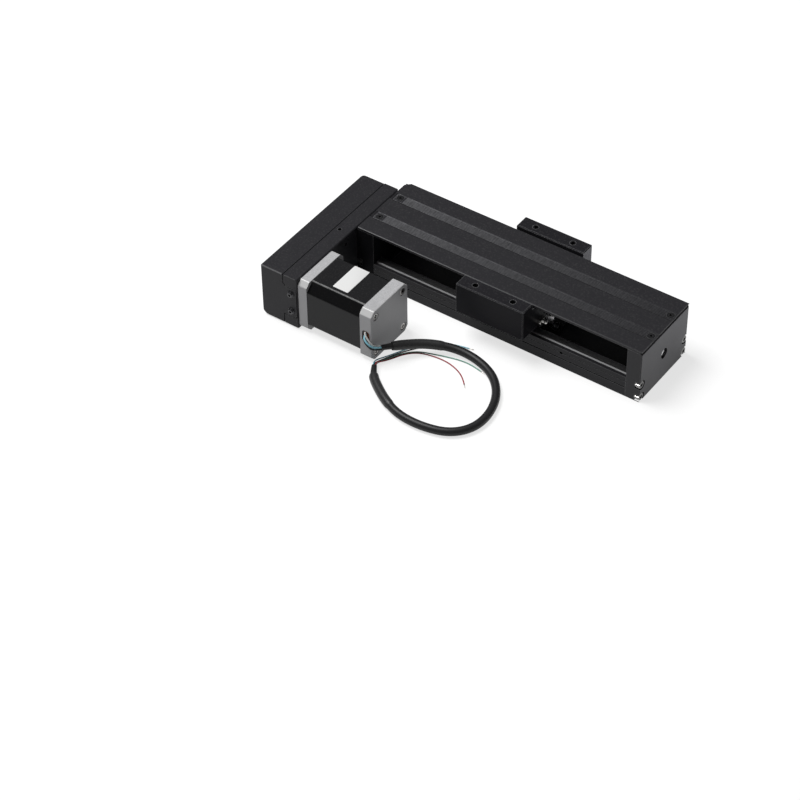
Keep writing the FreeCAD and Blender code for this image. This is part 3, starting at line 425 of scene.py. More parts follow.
# %% Sleeves
SLEEVE_RADIUS = 3.4 * MM
SLEEVE_TAPER = (0.86, 0.97)
SLEEVE_ROUNDNESS = 6
CORD_SMOOTH = 40
MOTOR_SLEEVE = (6.5 * MM, 46 * MM)
FREE_SLEEVE = (cable_length - 42 * MM, cable_length - 8 * MM)


def shrunk_sleeve(name, points):
    widths = tapered(SLEEVE_TAPER, len(points))
    tube = start_cord(name, "POLY", points, SLEEVE_RADIUS, widths, SLEEVE_ROUNDNESS)
    only(tube)
    bpy.ops.object.convert(target="MESH")
    smooth(bpy.context.object, CORD_SMOOTH)
    return bpy.context.object


motor_sleeve = shrunk_sleeve("sleeve_motor_end", stretch(cable_points, *MOTOR_SLEEVE))
free_sleeve = shrunk_sleeve("sleeve_free_end", stretch(cable_points, *FREE_SLEEVE))
print("sleeves", motor_sleeve.name, free_sleeve.name)

# %% [markdown]
# Four wires leave each end of the cable, in a two by two bundle. At the motor they bend round the
# corner of the rear cap into its notch. At the free end they fan out on the floor, some of them
# under the cable, and finish in a short bare tip.

# %% Wires and leads
LEAD_RADIUS = 0.65 * MM
WIRE_RADIUS = 0.45 * MM
WIRE_PITCH = 1.6 * MM
END_RUN = 3.5 * MM
WIRE_FLOOR = 0.5
LEAD_START = (-5.6, -96.15)
lead_bends = {
    "blue": (1, 1, 21.8, -100.9, (1.5, -101.8, 17.4)),
    "white": (-1, 1, 24.6, -99.3, (0.9, -100.1, 18.0)),
    "black": (1, -1, 19.8, -100.9, (1.5, -101.8, 15.4)),
    "red": (-1, -1, 17.8, -99.3, (0.9, -100.1, 15.6)),
}
wire_places = {
    "red": (1, 1, (5.7, -95.2, 1.6), [
        (8.9, -88.2), (13.1, -79.6), (20.2, -72.8), (30.2, -69.9),
        (40.8, -69.2), (50.6, -71.6), (58.6, -76.0), (63.6, -81.4)]),
    "green": (1, -1, (4.5, -94.8, 0.8), [
        (7.8, -87.7), (12.1, -78.9), (19.6, -71.7), (29.6, -68.2),
        (39.0, -65.2), (48.0, -63.0), (57.0, -62.5), (65.6, -64.4)]),
    "black": (-1, -1, (3.4, -94.6, 0.8), [
        (6.7, -87.1), (11.1, -78.2), (16.4, -70.6), (21.0, -64.2), (25.8, -58.6)]),
    "blue": (-1, 1, (2.3, -94.2, 1.6), [
        (5.6, -86.6), (9.9, -77.6), (14.6, -69.8), (19.8, -62.4),
        (26.8, -56.2), (36.2, -51.8), (46.6, -49.8)]),
}


def core_quarter(point, along, side, rise):
    across = along.cross(Vector((0, 0, 1))).normalized()
    raised = across.cross(along)
    return point + (across * side + raised * rise) * (WIRE_PITCH / 2)


leads = {}
inward = (route[1] - route[0]).normalized()
for colour, (side, rise, height, turn_y, bend) in lead_bends.items():
    end = core_quarter(route[0], inward, side, rise)
    points = [placed((*LEAD_START, height)), placed((LEAD_START[0], turn_y, height)), placed(bend),
              end - inward * END_RUN, end]
    leads[colour] = smooth_line("lead_" + colour + "_line", points, LEAD_RADIUS)

wires = {}
outward = (route[-1] - route[-2]).normalized()
for colour, (side, rise, drop, places) in wire_places.items():
    start = core_quarter(route[-1], outward, side, rise)
    points = [start, start + outward * END_RUN, placed(drop)]
    points += [placed((x, y, WIRE_FLOOR)) for x, y in places]
    wires[colour] = smooth_line("wire_" + colour + "_line", points, WIRE_RADIUS)
wire_lengths = {c: round(line_length(line_points(w)) / MM, 1) for c, w in wires.items()}
print("leads", list(leads), "wires mm", wire_lengths)

# %% [markdown]
# The ends of the wires are stripped and tinned. Each tip is a thin cylinder with bevelled ends. It
# starts a little way inside the insulation and goes on in the direction in which its wire stops.

# %% Bare tips
TIP_RADIUS = 0.3 * MM
TIP_LENGTH = 3.5 * MM
TIP_INSIDE = 0.3 * MM
TIP_BEVEL = TIP_RADIUS * 0.4


def bare_tip(name, points):
    along = (points[-1] - points[-2]).normalized()
    middle = points[-1] + along * (TIP_LENGTH / 2 - TIP_INSIDE)
    deselect()
    turn = along.to_track_quat("Z", "Y").to_euler()
    bpy.ops.mesh.primitive_cylinder_add(vertices=16, radius=TIP_RADIUS, depth=TIP_LENGTH,
                                        location=middle, rotation=turn)
    tip = bpy.context.object
    tip.name = name
    edit(tip)
    pick_all()
    bpy.ops.mesh.bevel(offset=TIP_BEVEL, segments=2)
    done()
    settle()
    smooth(tip, CORD_SMOOTH)
    return tip


tips = {c: bare_tip("wire_" + c + "_tip", line_points(w)) for c, w in wires.items()}
print("tips", [t.name for t in tips.values()])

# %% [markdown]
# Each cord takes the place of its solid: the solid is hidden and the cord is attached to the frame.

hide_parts("motor_cable", "cable_core_ends")
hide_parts("cable_sleeve_motor_end")
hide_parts("cable_sleeve_free_end")
for colour, lead in leads.items():
    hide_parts("lead_" + colour)
    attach(lead, "frame")
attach(cable, "frame")
for sleeve in (motor_sleeve, free_sleeve):
    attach(sleeve, "frame")
for colour, wire in wires.items():
    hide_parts("wire_" + colour)
    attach(wire, "frame")
    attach(tips[colour], "frame")
    points = line_points(wire)

# %% [markdown]
# The ball screw drives the carriage. Its thread is a round-bottomed groove for the balls, wound to
# the right. One pitch of its outline is drawn by extruding a single vertex, and the Screw modifier
# winds that outline along the rod. Its lead comes from the model's own coupling of turn and travel.

# %% Thread outline
couplings = frame["record"]["behaviour"]["couplings"]
LEAD = 2 * math.pi / abs(couplings[0]["ratio"])
SCREW_RADIUS = 6.0 * MM
GROOVE_RADIUS = 1.25 * MM
GROOVE_DEPTH = 0.9 * MM
GROOVE_STEPS = 8
END_GAP = 0.8 * MM
base_low, base_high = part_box("base_profile")
rod_low, rod_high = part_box("ball_screw")
axis_z = (rod_low.z + rod_high.z) / 2
thread_x0 = base_low.x + END_GAP
thread_x1 = base_high.x - END_GAP

thread = start_plane("ball_screw_threaded", (0, 0, 0), MM, MM)
edit(thread)
pick_all()
bpy.ops.mesh.merge(type="CENTER")
bpy.ops.transform.translate(value=(thread_x0 - LEAD, 0, SCREW_RADIUS))
half_angle = math.acos(1 - GROOVE_DEPTH / GROOVE_RADIUS)
half_mouth = GROOVE_RADIUS * math.sin(half_angle)
outline = [(0.0, 0.0)]
for i in range(GROOVE_STEPS + 1):
    angle = half_angle * (2 * i / GROOVE_STEPS - 1)
    drop = GROOVE_RADIUS * (math.cos(angle) - math.cos(half_angle))
    outline.append((LEAD / 2 + GROOVE_RADIUS * math.sin(angle), -drop))
outline.append((LEAD, 0.0))
for (x0, z0), (x1, z1) in zip(outline, outline[1:]):
    push(x1 - x0, 0, z1 - z0)
done()
print("lead mm", round(LEAD / MM, 3), "groove mouth mm", round(2 * half_mouth / MM, 2))

# %% [markdown]
# The modifier winds the outline round the X axis, with two turns more than the rod needs. What is
# too much is cut off at both ends and the cuts are filled, so the threaded rod is a closed body.

# %% Wind the thread
TURN_STEPS = 40
SPARE_TURNS = 2
SAME_PLACE = 1e-6
turns = math.ceil((thread_x1 - thread_x0) / LEAD) + SPARE_TURNS
apply_modifier(thread, "SCREW", axis="X", angle=2 * math.pi, screw_offset=LEAD, iterations=turns,
               steps=TURN_STEPS, render_steps=TURN_STEPS, use_merge_vertices=True)
edit(thread)
pick_all()
bpy.ops.mesh.remove_doubles(threshold=SAME_PLACE)
cut_at(thread_x0, keep_low=False)
cut_at(thread_x1, keep_low=True)
face_outwards()
bpy.ops.transform.translate(value=(0, 0, axis_z))
done()
print("thread faces", len(thread.data.polygons))

# %% [markdown]
# The plain journals at both ends are copied from the solid, so they fit its bearings. The copy is
# merged, cut off where the thread starts, and pushed a little way into the threaded rod.

# %% Journals
OVERLAP = 0.5 * MM
CUT_CLEAR = 0.01 * MM


def journal(name, cut_x, keep_low):
    end = bpy.data.objects.new(name, nodes["ball_screw"].data.copy())
    scene.collection.objects.link(end)
    edit(end)
    pick_all()
    bpy.ops.mesh.remove_doubles(threshold=SAME_PLACE)
    cut_at(cut_x, keep_low)
    push(OVERLAP if keep_low else -OVERLAP)
    done()
    return end


ends = [journal("journal_drive", thread_x0 - CUT_CLEAR, True),
        journal("journal_tail", thread_x1 + CUT_CLEAR, False)]
only(thread)
for end in ends:
    end.select_set(True)
bpy.ops.object.join()
smooth(thread)
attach(thread, "screw")
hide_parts("ball_screw")
print("ball screw", [round(v / MM, 1) for v in thread.dimensions])

# %% [markdown]
# Four cap screws hold each end block, and at the tail their knurled heads are the brightest thing
# in the picture. A screw starts as its shank and the head is drawn out of its end. Every third edge
# of the head is pushed in, and a six-sided cutter makes the socket. It is modelled once and copied.

# %% Knurled cap screw
HEAD_RADIUS = 2.75 * MM
HEAD_HEIGHT = 3.0 * MM
HEAD_BEVEL = 0.3 * MM
HEAD_TOP_SCALE = 0.9
KNURLS = 28
KNURL_SCALE = 0.94
SOCKET_FLATS = 2.5 * MM
SOCKET_DEPTH = 1.5 * MM
SHANK_RADIUS = 1.5 * MM
SHANK_BEVEL = 0.4 * MM
SHANK_TIP_SCALE = 0.75
HEAD_SMOOTH = 20
HEAD_ONLY = SHANK_RADIUS * 1.2
NEAR_EDGE = 0.1
END_ON = 0.9


def is_valley(vertex):
    """True on every third edge of the head."""
    y, z = vertex.co.yz
    step = math.atan2(z, y) / (2 * math.pi) * KNURLS
    on_edge = abs(step - round(step)) < NEAR_EDGE
    return on_edge and math.hypot(y, z) > HEAD_ONLY


def resize_round(centre, factor):
    """Makes what is selected thinner or thicker round the X axis."""
    bpy.ops.transform.resize(value=(1, factor, factor), center_override=centre)


def knurled_screw(name, length):
    """A cap screw along X, its head's seat at the origin and its head towards +X."""
    screw = start_cylinder(name, 3 * KNURLS, SHANK_RADIUS, -length + SHANK_BEVEL, 0.0)
    pick(screw, "polygons", lambda face: face.normal.x < -END_ON)
    push(-SHANK_BEVEL)
    resize_round((-length, 0, 0), SHANK_TIP_SCALE)
    pick(screw, "polygons", lambda face: face.normal.x > END_ON)
    push(0.0)
    resize_round((0, 0, 0), HEAD_RADIUS / SHANK_RADIUS)
    push(HEAD_HEIGHT - HEAD_BEVEL)
    push(HEAD_BEVEL)
    resize_round((HEAD_HEIGHT, 0, 0), HEAD_TOP_SCALE)
    pick(screw, "vertices", is_valley)
    resize_round((0, 0, 0), KNURL_SCALE)
    done()
    cutter = start_cylinder("socket_cutter", 6, SOCKET_FLATS / math.sqrt(3),
                            HEAD_HEIGHT - SOCKET_DEPTH, HEAD_HEIGHT + MM)
    apply_modifier(screw, "BOOLEAN", operation="DIFFERENCE", object=cutter, solver="EXACT")
    discard(cutter)
    smooth(screw, HEAD_SMOOTH)
    return screw


def corner_places(node):
    """The four screw axes of a node, from its box."""
    low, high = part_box(node)
    z_low = low.z + HEAD_RADIUS
    z_high = high.z - HEAD_RADIUS
    y = high.y - HEAD_RADIUS
    return [(-y, z_low), (-y, z_high), (y, z_low), (y, z_high)]


def screw_set(node, prefix, turned):
    """Four copies of one screw in the places of a node's solids."""
    low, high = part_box(node)
    first = knurled_screw(prefix, high.x - low.x - HEAD_HEIGHT)
    seat = low.x + HEAD_HEIGHT if turned else high.x - HEAD_HEIGHT
    copies = []
    for i, (y, z) in enumerate(corner_places(node)):
        screw = copy_at(first, f"{prefix}_{i + 1}", (seat, y, z), turned)
        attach(screw, "frame")
        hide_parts(node)
        copies.append(screw)
    discard(first)
    return seat, copies


tail_seat, tail_screws = screw_set("tail_block_screws", "tail_cap_screw", False)
drive_seat, drive_screws = screw_set("drive_block_screws", "drive_cap_screw", True)
screw_faces = len(tail_screws[0].data.polygons)
print("cap screws", len(tail_screws + drive_screws), "faces each", screw_faces)

# %% [markdown]
# Under each head lies a split spring washer. It is one turn of a square wire, so a small square is
# wound by the Screw modifier to a little less than a full turn, with a small rise, and its two cut
# ends are closed. Pressed flat by the screw, it keeps only a slight step at the split.

# %% Split washers
WASHER_SEAT = 0.8 * MM
WASHER_WIRE = 0.66 * MM
WASHER_OUTER = 2.65 * MM
WASHER_HOLE = 1.62 * MM
WASHER_RISE = 0.12 * MM
WASHER_STEPS = 40
SPLIT = math.radians(14)


def split_washer(name):
    """A washer round the X axis, its thickness centred on the origin."""
    middle = (WASHER_OUTER + WASHER_HOLE) / 2
    washer = start_plane(name, (-WASHER_RISE / 2, 0, middle), WASHER_WIRE,
                         WASHER_OUTER - WASHER_HOLE, upright=True)
    edit(washer)
    bpy.ops.mesh.delete(type="ONLY_FACE")
    done()
    apply_modifier(washer, "SCREW", axis="X", angle=2 * math.pi - SPLIT, screw_offset=WASHER_RISE,
                   iterations=1, steps=WASHER_STEPS, render_steps=WASHER_STEPS)
    edit(washer)
    pick_all()
    bpy.ops.mesh.fill_holes(sides=4)
    face_outwards()
    done()
    smooth(washer)
    return washer


first = split_washer("washer")
washers = []
for seat, side in ((tail_seat, -1), (drive_seat, 1)):
    for y, z in corner_places("tail_block_screws"):
        place = (seat + side * WASHER_SEAT / 2, y, z)
        washer = copy_at(first, f"split_washer_{len(washers) + 1}", place)
        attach(washer, "frame")
        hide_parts("spring_washers")
        washers.append(washer)
discard(first)
print("split washers", len(washers))

# %% [markdown]
# The motor wears a blank paper label. A plane gets rounded corners from a bevel on its four
# vertices, is drawn up to the thickness of paper, and has its upper rim softened.

# %% Paper label
LABEL_CORNER = 0.7 * MM
LABEL_EDGE = 0.05 * MM


def rounded_slab(piece, corner, steps, depth, edge):
    """Rounds a rectangle's corners, draws it out by a depth and softens its edges."""
    edit(piece)
    pick_all()
    bpy.ops.mesh.bevel(offset=corner, segments=steps, affect="VERTICES")
    pick_all()
    push(*depth)
    face_outwards()
    done()
    apply_modifier(piece, "BEVEL", width=edge, segments=2, limit_method="ANGLE")


label_low, label_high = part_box("motor_label")
label_size = label_high - label_low
middle = (label_low + label_high) / 2
label = start_plane("motor_label_paper", (middle.x, middle.y, label_low.z),
                    label_size.x, label_size.y)
rounded_slab(label, LABEL_CORNER, steps=5, depth=(0, 0, label_size.z), edge=LABEL_EDGE)
smooth(label)
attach(label, "frame")
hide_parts("motor_label")
print("label mm", [round(v / MM, 2) for v in label.dimensions])

# %% [markdown]
# A brown moulded bushing fills the back of the wire notch and keeps the leads off the metal. It
# starts as an upright plane, its four corners are rounded like the notch, and it is drawn inwards.
# Four round holes in its outer face let the leads through.

# %% Lead bushing
BUSHING_CORNER = 2.4 * MM
BUSHING_EDGE = 0.3 * MM
BUSHING_HOLE = LEAD_RADIUS + 0.1 * MM
CUTTER_LENGTH = 3 * MM
bushing_low, bushing_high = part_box("lead_bushing")
bushing_size = bushing_high - bushing_low
middle = (bushing_low + bushing_high) / 2
bushing = start_plane("lead_bushing_moulded", (middle.x, bushing_low.y, middle.z),
                      bushing_size.x, bushing_size.z, upright=True)
rounded_slab(bushing, BUSHING_CORNER, steps=6, depth=(0, bushing_size.y, 0), edge=BUSHING_EDGE)
for lead in leads.values():
    start = line_points(lead)[0]
    deselect()
    bpy.ops.mesh.primitive_cylinder_add(vertices=24, radius=BUSHING_HOLE, depth=CUTTER_LENGTH,
                                        location=(start.x, bushing_low.y, start.z),
                                        rotation=(math.pi / 2, 0, 0))
    cutter = bpy.context.object
    apply_modifier(bushing, "BOOLEAN", operation="DIFFERENCE", object=cutter, solver="EXACT")
    discard(cutter)
smooth(bushing, degrees=30)
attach(bushing, "frame")
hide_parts("lead_bushing")
print("bushing faces", len(bushing.data.polygons))

# %% [markdown]
# Now the finishes. Effects that several finishes share are node groups: a fine grain, streaks drawn
# along one direction, a mask of sharp edges, smudges from handling and settled dust. Each one puts
# out a plain value that a material uses for its colour, its roughness or the height of a bump. The
# edge mask marks real wear on bare metal, and wear with a painted highlight on the black finishes.

# %% Shared effects
def start_group(name, input_name, value, output_name):
    """A node group that is given one number or vector and puts out one value."""
    group = bpy.data.node_groups.new(name, "ShaderNodeTree")
    kind = "NodeSocketVector" if isinstance(value, tuple) else "NodeSocketFloat"
    socket = group.interface.new_socket(input_name, in_out="INPUT", socket_type=kind)
    socket.default_value = value
    group.interface.new_socket(output_name, in_out="OUTPUT", socket_type="NodeSocketFloat")
    return group, group.nodes.new("NodeGroupInput").outputs[0], group.nodes.new("NodeGroupOutput")


def object_place(tree):
    return add_node(tree, "ShaderNodeTexCoord").outputs["Object"]


def place_axes(tree):
    """A place on the piece, as its X, Y and Z."""
    return add_node(tree, "ShaderNodeSeparateXYZ", {0: object_place(tree)}).outputs


def noise(tree, place, scale, detail=3.0):
    inputs = {"Vector": place, "Scale": scale, "Detail": detail}
    return add_node(tree, "ShaderNodeTexNoise", inputs).outputs[0]


grain_group, given, result = start_group("fine_grain", "Scale", 4000.0, "Shade")
feed(grain_group, result, {0: noise(grain_group, object_place(grain_group), given)})

streak_group, given, result = start_group("drawn_streaks", "Stretch", (25.0, 2500.0, 2500.0),
                                          "Shade")
factors = {0: object_place(streak_group), 1: given}
stretched = add_node(streak_group, "ShaderNodeVectorMath", factors, operation="MULTIPLY")
feed(streak_group, result, {0: noise(streak_group, stretched.outputs[0], 1.0)})

# Sharp edges. This mask carries wear, and on the black finishes also a painted highlight.
edge_group, given, result = start_group("sharp_edges", "Width", 0.9 * MM, "Mask")
rounded = add_node(edge_group, "ShaderNodeBevel", {"Radius": given}, samples=6)
surface = add_node(edge_group, "ShaderNodeNewGeometry")
normals = {0: rounded.outputs["Normal"], 1: surface.outputs["Normal"]}
facing = add_node(edge_group, "ShaderNodeVectorMath", normals, operation="DOT_PRODUCT")
turned_away = remap(edge_group, facing.outputs["Value"], 1.0, 0.0, 0.90, 0.99)
broken = noise(edge_group, object_place(edge_group), 700.0)
broken = remap(edge_group, broken, 0.45, 1.0, 0.35, 0.65)
feed(edge_group, result, {0: times(edge_group, turned_away, broken)})

smudge_group, given, result = start_group("handling_smudges", "Scale", 60.0, "Shade")
feed(smudge_group, result, {0: noise(smudge_group, object_place(smudge_group), given, 2.0)})


def facing_share(tree, axis, low, high):
    """How far a surface faces along an axis, as a mask between two limits."""
    surface = add_node(tree, "ShaderNodeNewGeometry")
    split = add_node(tree, "ShaderNodeSeparateXYZ", {0: surface.outputs["Normal"]})
    return remap(tree, split.outputs[axis], 0.0, 1.0, low, high)


def tilted_share(tree, low, high, soft=0.02):
    """Mask of the slopes that face up by a share between two limits."""
    steep_enough = facing_share(tree, "Z", high + soft, high - soft)
    return times(tree, facing_share(tree, "Z", low - soft, low + soft), steep_enough)


dust_group, given, result = start_group("settled_dust", "Amount", 0.1, "Mask")
upward = facing_share(dust_group, "Z", 0.6, 1.0)
specks = noise(dust_group, object_place(dust_group), 900.0, 6.0)
specks = remap(dust_group, specks, 0.0, 1.0, 0.52, 0.8)
lying = times(dust_group, upward, specks)
feed(dust_group, result, {0: times(dust_group, lying, given)})


def effect(tree, group, **values):
    return add_node(tree, "ShaderNodeGroup", values, node_tree=group).outputs[0]


print("effects", [g.name for g in bpy.data.node_groups])

# %% [markdown]
# Almost everything is black anodised aluminium: a dyed, slightly bluish oxide skin, satin rather
# than glossy. Extruded and milled pieces keep faint streaks along their length, and a trace of dust
# lies on what faces up. Sharp edges turn a little lighter, partly from wear and partly as a painted
# highlight, and bevels get a painted highlight that fades towards the tail. So one function makes
# the family.

# %% Black anodised aluminium
ANODISED = (0.0180, 0.0176, 0.0205)
# Colour of sharp edges and bevels on the black finishes: partly wear, partly a painted highlight.
RUBBED_AND_HIGHLIT = (0.20, 0.20, 0.205)
DUST = (0.30, 0.29, 0.28)
# A painted reflection on the faces towards the tail, lighter high up and on the far side.
END_LIGHT = (0.064, 0.064, 0.071)
END_LIGHT_RISE = 2.8
END_LIGHT_NEAR = 0.3
END_LIGHT_TOP = 42 * MM
# A painted highlight on the rear wing's end face.
REAR_END_LIGHT_RISE = 5.0
END_FACING = (0.8, 0.95)
# The share of the bevels' painted highlight that is left at the tail end.
BEVEL_HIGHLIGHT_FADE = 0.15
JOINT_REACH = 1.3 * MM
plate_low, plate_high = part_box("motor_plate")
plate_middle = (plate_low.x + plate_high.x) / 2
plate_half = (plate_high.x - plate_low.x) / 2


def bump(tree, shader, height, strength, distance):
    inputs = {"Strength": strength, "Distance": distance, "Height": height}
    feed(tree, shader, {"Normal": add_node(tree, "ShaderNodeBump", inputs).outputs["Normal"]})


def scaled(colour, factor):
    return tuple(c * factor for c in colour)


def varied(tree, tone, low, high, share):
    """A tone that changes over the surface between two multiples of itself."""
    return mix_colour(tree, scaled(tone, low), scaled(tone, high), share)


def set_roughness(tree, shader, rough, grain, smudges, fine=0.05, broad=0.05):
    """A roughness that grain and smudges make a little uneven."""
    uneven = remap(tree, grain, -fine, fine)
    uneven = calculate(tree, "ADD", uneven, remap(tree, smudges, -broad, broad))
    feed(tree, shader, {"Roughness": calculate(tree, "ADD", uneven, rough)})


def apart(tree, first, second):
    """The distance between two values."""
    return calculate(tree, "ABSOLUTE", calculate(tree, "SUBTRACT", first, second))


def away_from_joints(tree):
    """Zero along the motor plate's two joints, where the edges keep their black, else one."""
    from_middle = apart(tree, place_axes(tree)["X"], plate_middle)
    return calculate(tree, "GREATER_THAN", apart(tree, from_middle, plate_half), JOINT_REACH)


def painted_end_light(tree, colour):
    """A painted reflection: end faces towards the tail turn greyer, most of all at their far top
    corner.
    """
    place = place_axes(tree)
    height = remap(tree, place["Z"], 0.0, 1.0, base_low.z, base_low.z + END_LIGHT_TOP)
    across = remap(tree, place["Y"], END_LIGHT_NEAR, 1.0, base_low.y, base_high.y)
    rise = times(tree, height, across)
    grey = mix_colour(tree, END_LIGHT, scaled(END_LIGHT, END_LIGHT_RISE), rise)
    return mix_colour(tree, colour, grey, facing_share(tree, "X", *END_FACING))


def painted_rear_end_light(tree, colour):
    """A painted highlight: the end face of the carriage's rear wing is pale, while the front wing's
    end stays black.
    """
    behind = calculate(tree, "GREATER_THAN", place_axes(tree)["Y"], 0.0)
    lit_rear_end = times(tree, facing_share(tree, "X", *END_FACING), behind)
    return mix_colour(tree, colour, scaled(END_LIGHT, REAR_END_LIGHT_RISE), lit_rear_end)


def anodised(name, streak, tone=ANODISED, rough=0.42, sheen=0.22, added_layer=None, edge_rub_and_highlight=0.6, slope_highlight=0.0):
    """Satin black, with streaks along one direction. A function may add a layer to the colour. Sharp
    edges get wear and a painted highlight by a given share, and bevels a painted highlight that
    fades towards the tail."""
    material, tree, shader = start_finish(name)
    grain = effect(tree, grain_group, Scale=5200.0)
    streaks = effect(tree, streak_group, Stretch=streak)
    smudges = effect(tree, smudge_group, Scale=45.0)
    colour = varied(tree, tone, 0.75, 1.3, streaks)
    colour = mix_colour(tree, colour, scaled(tone, 1.7), remap(tree, grain, 0.0, 0.3, 0.45, 0.75))
    # Sharp edges get wear and a painted highlight, and bevels a painted highlight that fades towards
    # the tail.
    edge_lightening = times(tree, effect(tree, edge_group), edge_rub_and_highlight)
    along = place_axes(tree)["X"]
    lengthwise = remap(tree, along, slope_highlight, slope_highlight * BEVEL_HIGHLIGHT_FADE, base_low.x, base_high.x)
    bevel_highlight = times(tree, tilted_share(tree, 0.55, 0.85), lengthwise)
    edge_lightening = times(tree, calculate(tree, "MAXIMUM", edge_lightening, bevel_highlight), away_from_joints(tree))
    colour = mix_colour(tree, colour, RUBBED_AND_HIGHLIT, edge_lightening)
    if added_layer:
        colour = added_layer(tree, colour)
    colour = mix_colour(tree, colour, DUST, effect(tree, dust_group, Amount=0.10))
    feed(tree, shader, {"Base Color": colour, "Specular IOR Level": sheen})
    set_roughness(tree, shader, rough, grain, smudges)
    bump(tree, shader, calculate(tree, "ADD", grain, streaks), strength=0.10, distance=0.02 * MM)
    return material


print("anodised family ready")

# %% [markdown]
# The cover has two bands of fine grooves. The grooves are in the solid. The material makes the bands
# greyer than the plain dye, partly as the ridges' own rubbed finish and partly as a painted sheen,
# and fades that grey towards the tail as painted light. It adds a painted shadow line along each
# band's front edge, and painted highlights along the bands' rims and round the plain place of the
# first screw.

# %% Grooved bands
BAND_MIDDLE = 12.0 * MM
BAND_HALF = 3.7 * MM
BAND_EDGE = 0.5 * MM
BAND_TONE_AND_SHEEN = (0.092, 0.092, 0.098)
BAND_LIGHT_FADE = 0.75
BAND_SHADOW_LINE = 0.7 * MM
BAND_START = 2.4 * MM
BAND_PLAIN = 10.2 * MM
BAND_GRAIN = (1100.0, 260.0, 260.0)
SHADOW_LINE_SHADE = 0.4
PLAIN_SHADE = 1.8
RIM_HIGHLIGHT = 1.9
cover_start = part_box("cover_plate")[0].x


def grooved_bands_and_light(tree, colour):
    """Adds the bands and their painted light to the cover's colour."""
    place = place_axes(tree)
    side = calculate(tree, "SIGN", place["Y"])
    offset = calculate(tree, "SUBTRACT", place["Y"], times(tree, side, BAND_MIDDLE))
    from_band = calculate(tree, "ABSOLUTE", offset)
    from_start = calculate(tree, "SUBTRACT", place["X"], cover_start)
    begun = calculate(tree, "GREATER_THAN", from_start, BAND_START)
    # A painted shadow line just in front of each band's front edge.
    from_shadow_line = apart(tree, offset, -BAND_HALF - BAND_SHADOW_LINE / 2)
    on_shadow_line = times(tree, calculate(tree, "LESS_THAN", from_shadow_line, BAND_SHADOW_LINE / 2), begun)
    colour = mix_colour(tree, colour, scaled(ANODISED, SHADOW_LINE_SHADE), on_shadow_line)
    # The bands' grey: partly the ridges' own finish, partly a painted sheen.
    speckle = remap(tree, effect(tree, streak_group, Stretch=BAND_GRAIN), 0.0, 1.0, 0.3, 0.7)
    tone = varied(tree, BAND_TONE_AND_SHEEN, 0.72, 1.32, speckle)
    plain = calculate(tree, "LESS_THAN", from_start, BAND_PLAIN)
    tone = mix_colour(tree, tone, scaled(ANODISED, PLAIN_SHADE), plain)
    # Painted highlights along the rims and round the plain place.
    long_rim = calculate(tree, "GREATER_THAN", from_band, BAND_HALF - BAND_EDGE)
    first_rim = calculate(tree, "LESS_THAN", from_start, BAND_START + BAND_EDGE)
    broken = remap(tree, noise(tree, object_place(tree), 420.0), 0.2, 1.0, 0.4, 0.6)
    rim_highlight = times(tree, calculate(tree, "MAXIMUM", long_rim, first_rim), broken)
    tone = mix_colour(tree, tone, scaled(BAND_TONE_AND_SHEEN, RIM_HIGHLIGHT), rim_highlight)
    # Painted light falloff: the grey fades towards the tail.
    light_falloff = remap(tree, place["X"], 0.0, BAND_LIGHT_FADE, base_low.x, base_high.x)
    tone = mix_colour(tree, tone, ANODISED, light_falloff)
    tone = mix_colour(tree, ANODISED, tone, begun)
    return mix_colour(tree, colour, tone, calculate(tree, "LESS_THAN", from_band, BAND_HALF))


print("bands", round(2 * BAND_HALF / MM, 1), "mm wide")

# %% [markdown]
# The black pieces differ a little. The cover's front bevel gets the strongest painted highlight. The
# saddle is milled smooth, with a slightly darker tone as painted shade for its front, more edge wear
# and painted highlight, and a painted highlight on its rear wing's end. The tail block gets a
# painted reflection that makes its end greyer, and the block beside the motor is a darker copy of
# the dye as painted shade.

# %% Anodised finishes
along_x = (25.0, 2600.0, 2600.0)
along_y = (2600.0, 25.0, 2600.0)
profile_black = anodised("anodised_profile", along_x, sheen=0.15)
cover_black = anodised("anodised_cover", along_x, added_layer=grooved_bands_and_light, edge_rub_and_highlight=0.3, slope_highlight=0.9)
block_black = anodised("anodised_blocks", along_y, rough=0.40, added_layer=painted_end_light)
housing_black = anodised("anodised_housing", along_y, rough=0.44, sheen=0.18, slope_highlight=0.6)
# The saddle's slightly darker tone is painted shade for its front face.
saddle_black = anodised("anodised_saddle", along_x, scaled(ANODISED, 0.9), rough=0.30, sheen=0.05,
                        added_layer=painted_rear_end_light, edge_rub_and_highlight=0.95)
# A darker copy of the dye: painted shade for the block beside the motor.
painted_shade_black = anodised("anodised_painted_shade_block", along_y, scaled(ANODISED, 0.6), rough=0.50,
                        sheen=0.03)
print("anodised finishes ready")

# %% [markdown]
# Bare metals differ in how they were finished. Rails and screw are ground and polished, plated
# screws are bright and smooth, cast motor ends are grainy and matt, and black oxide is dark steel
# that shines through on the corners. A metal's colour is the colour of its mirror image.

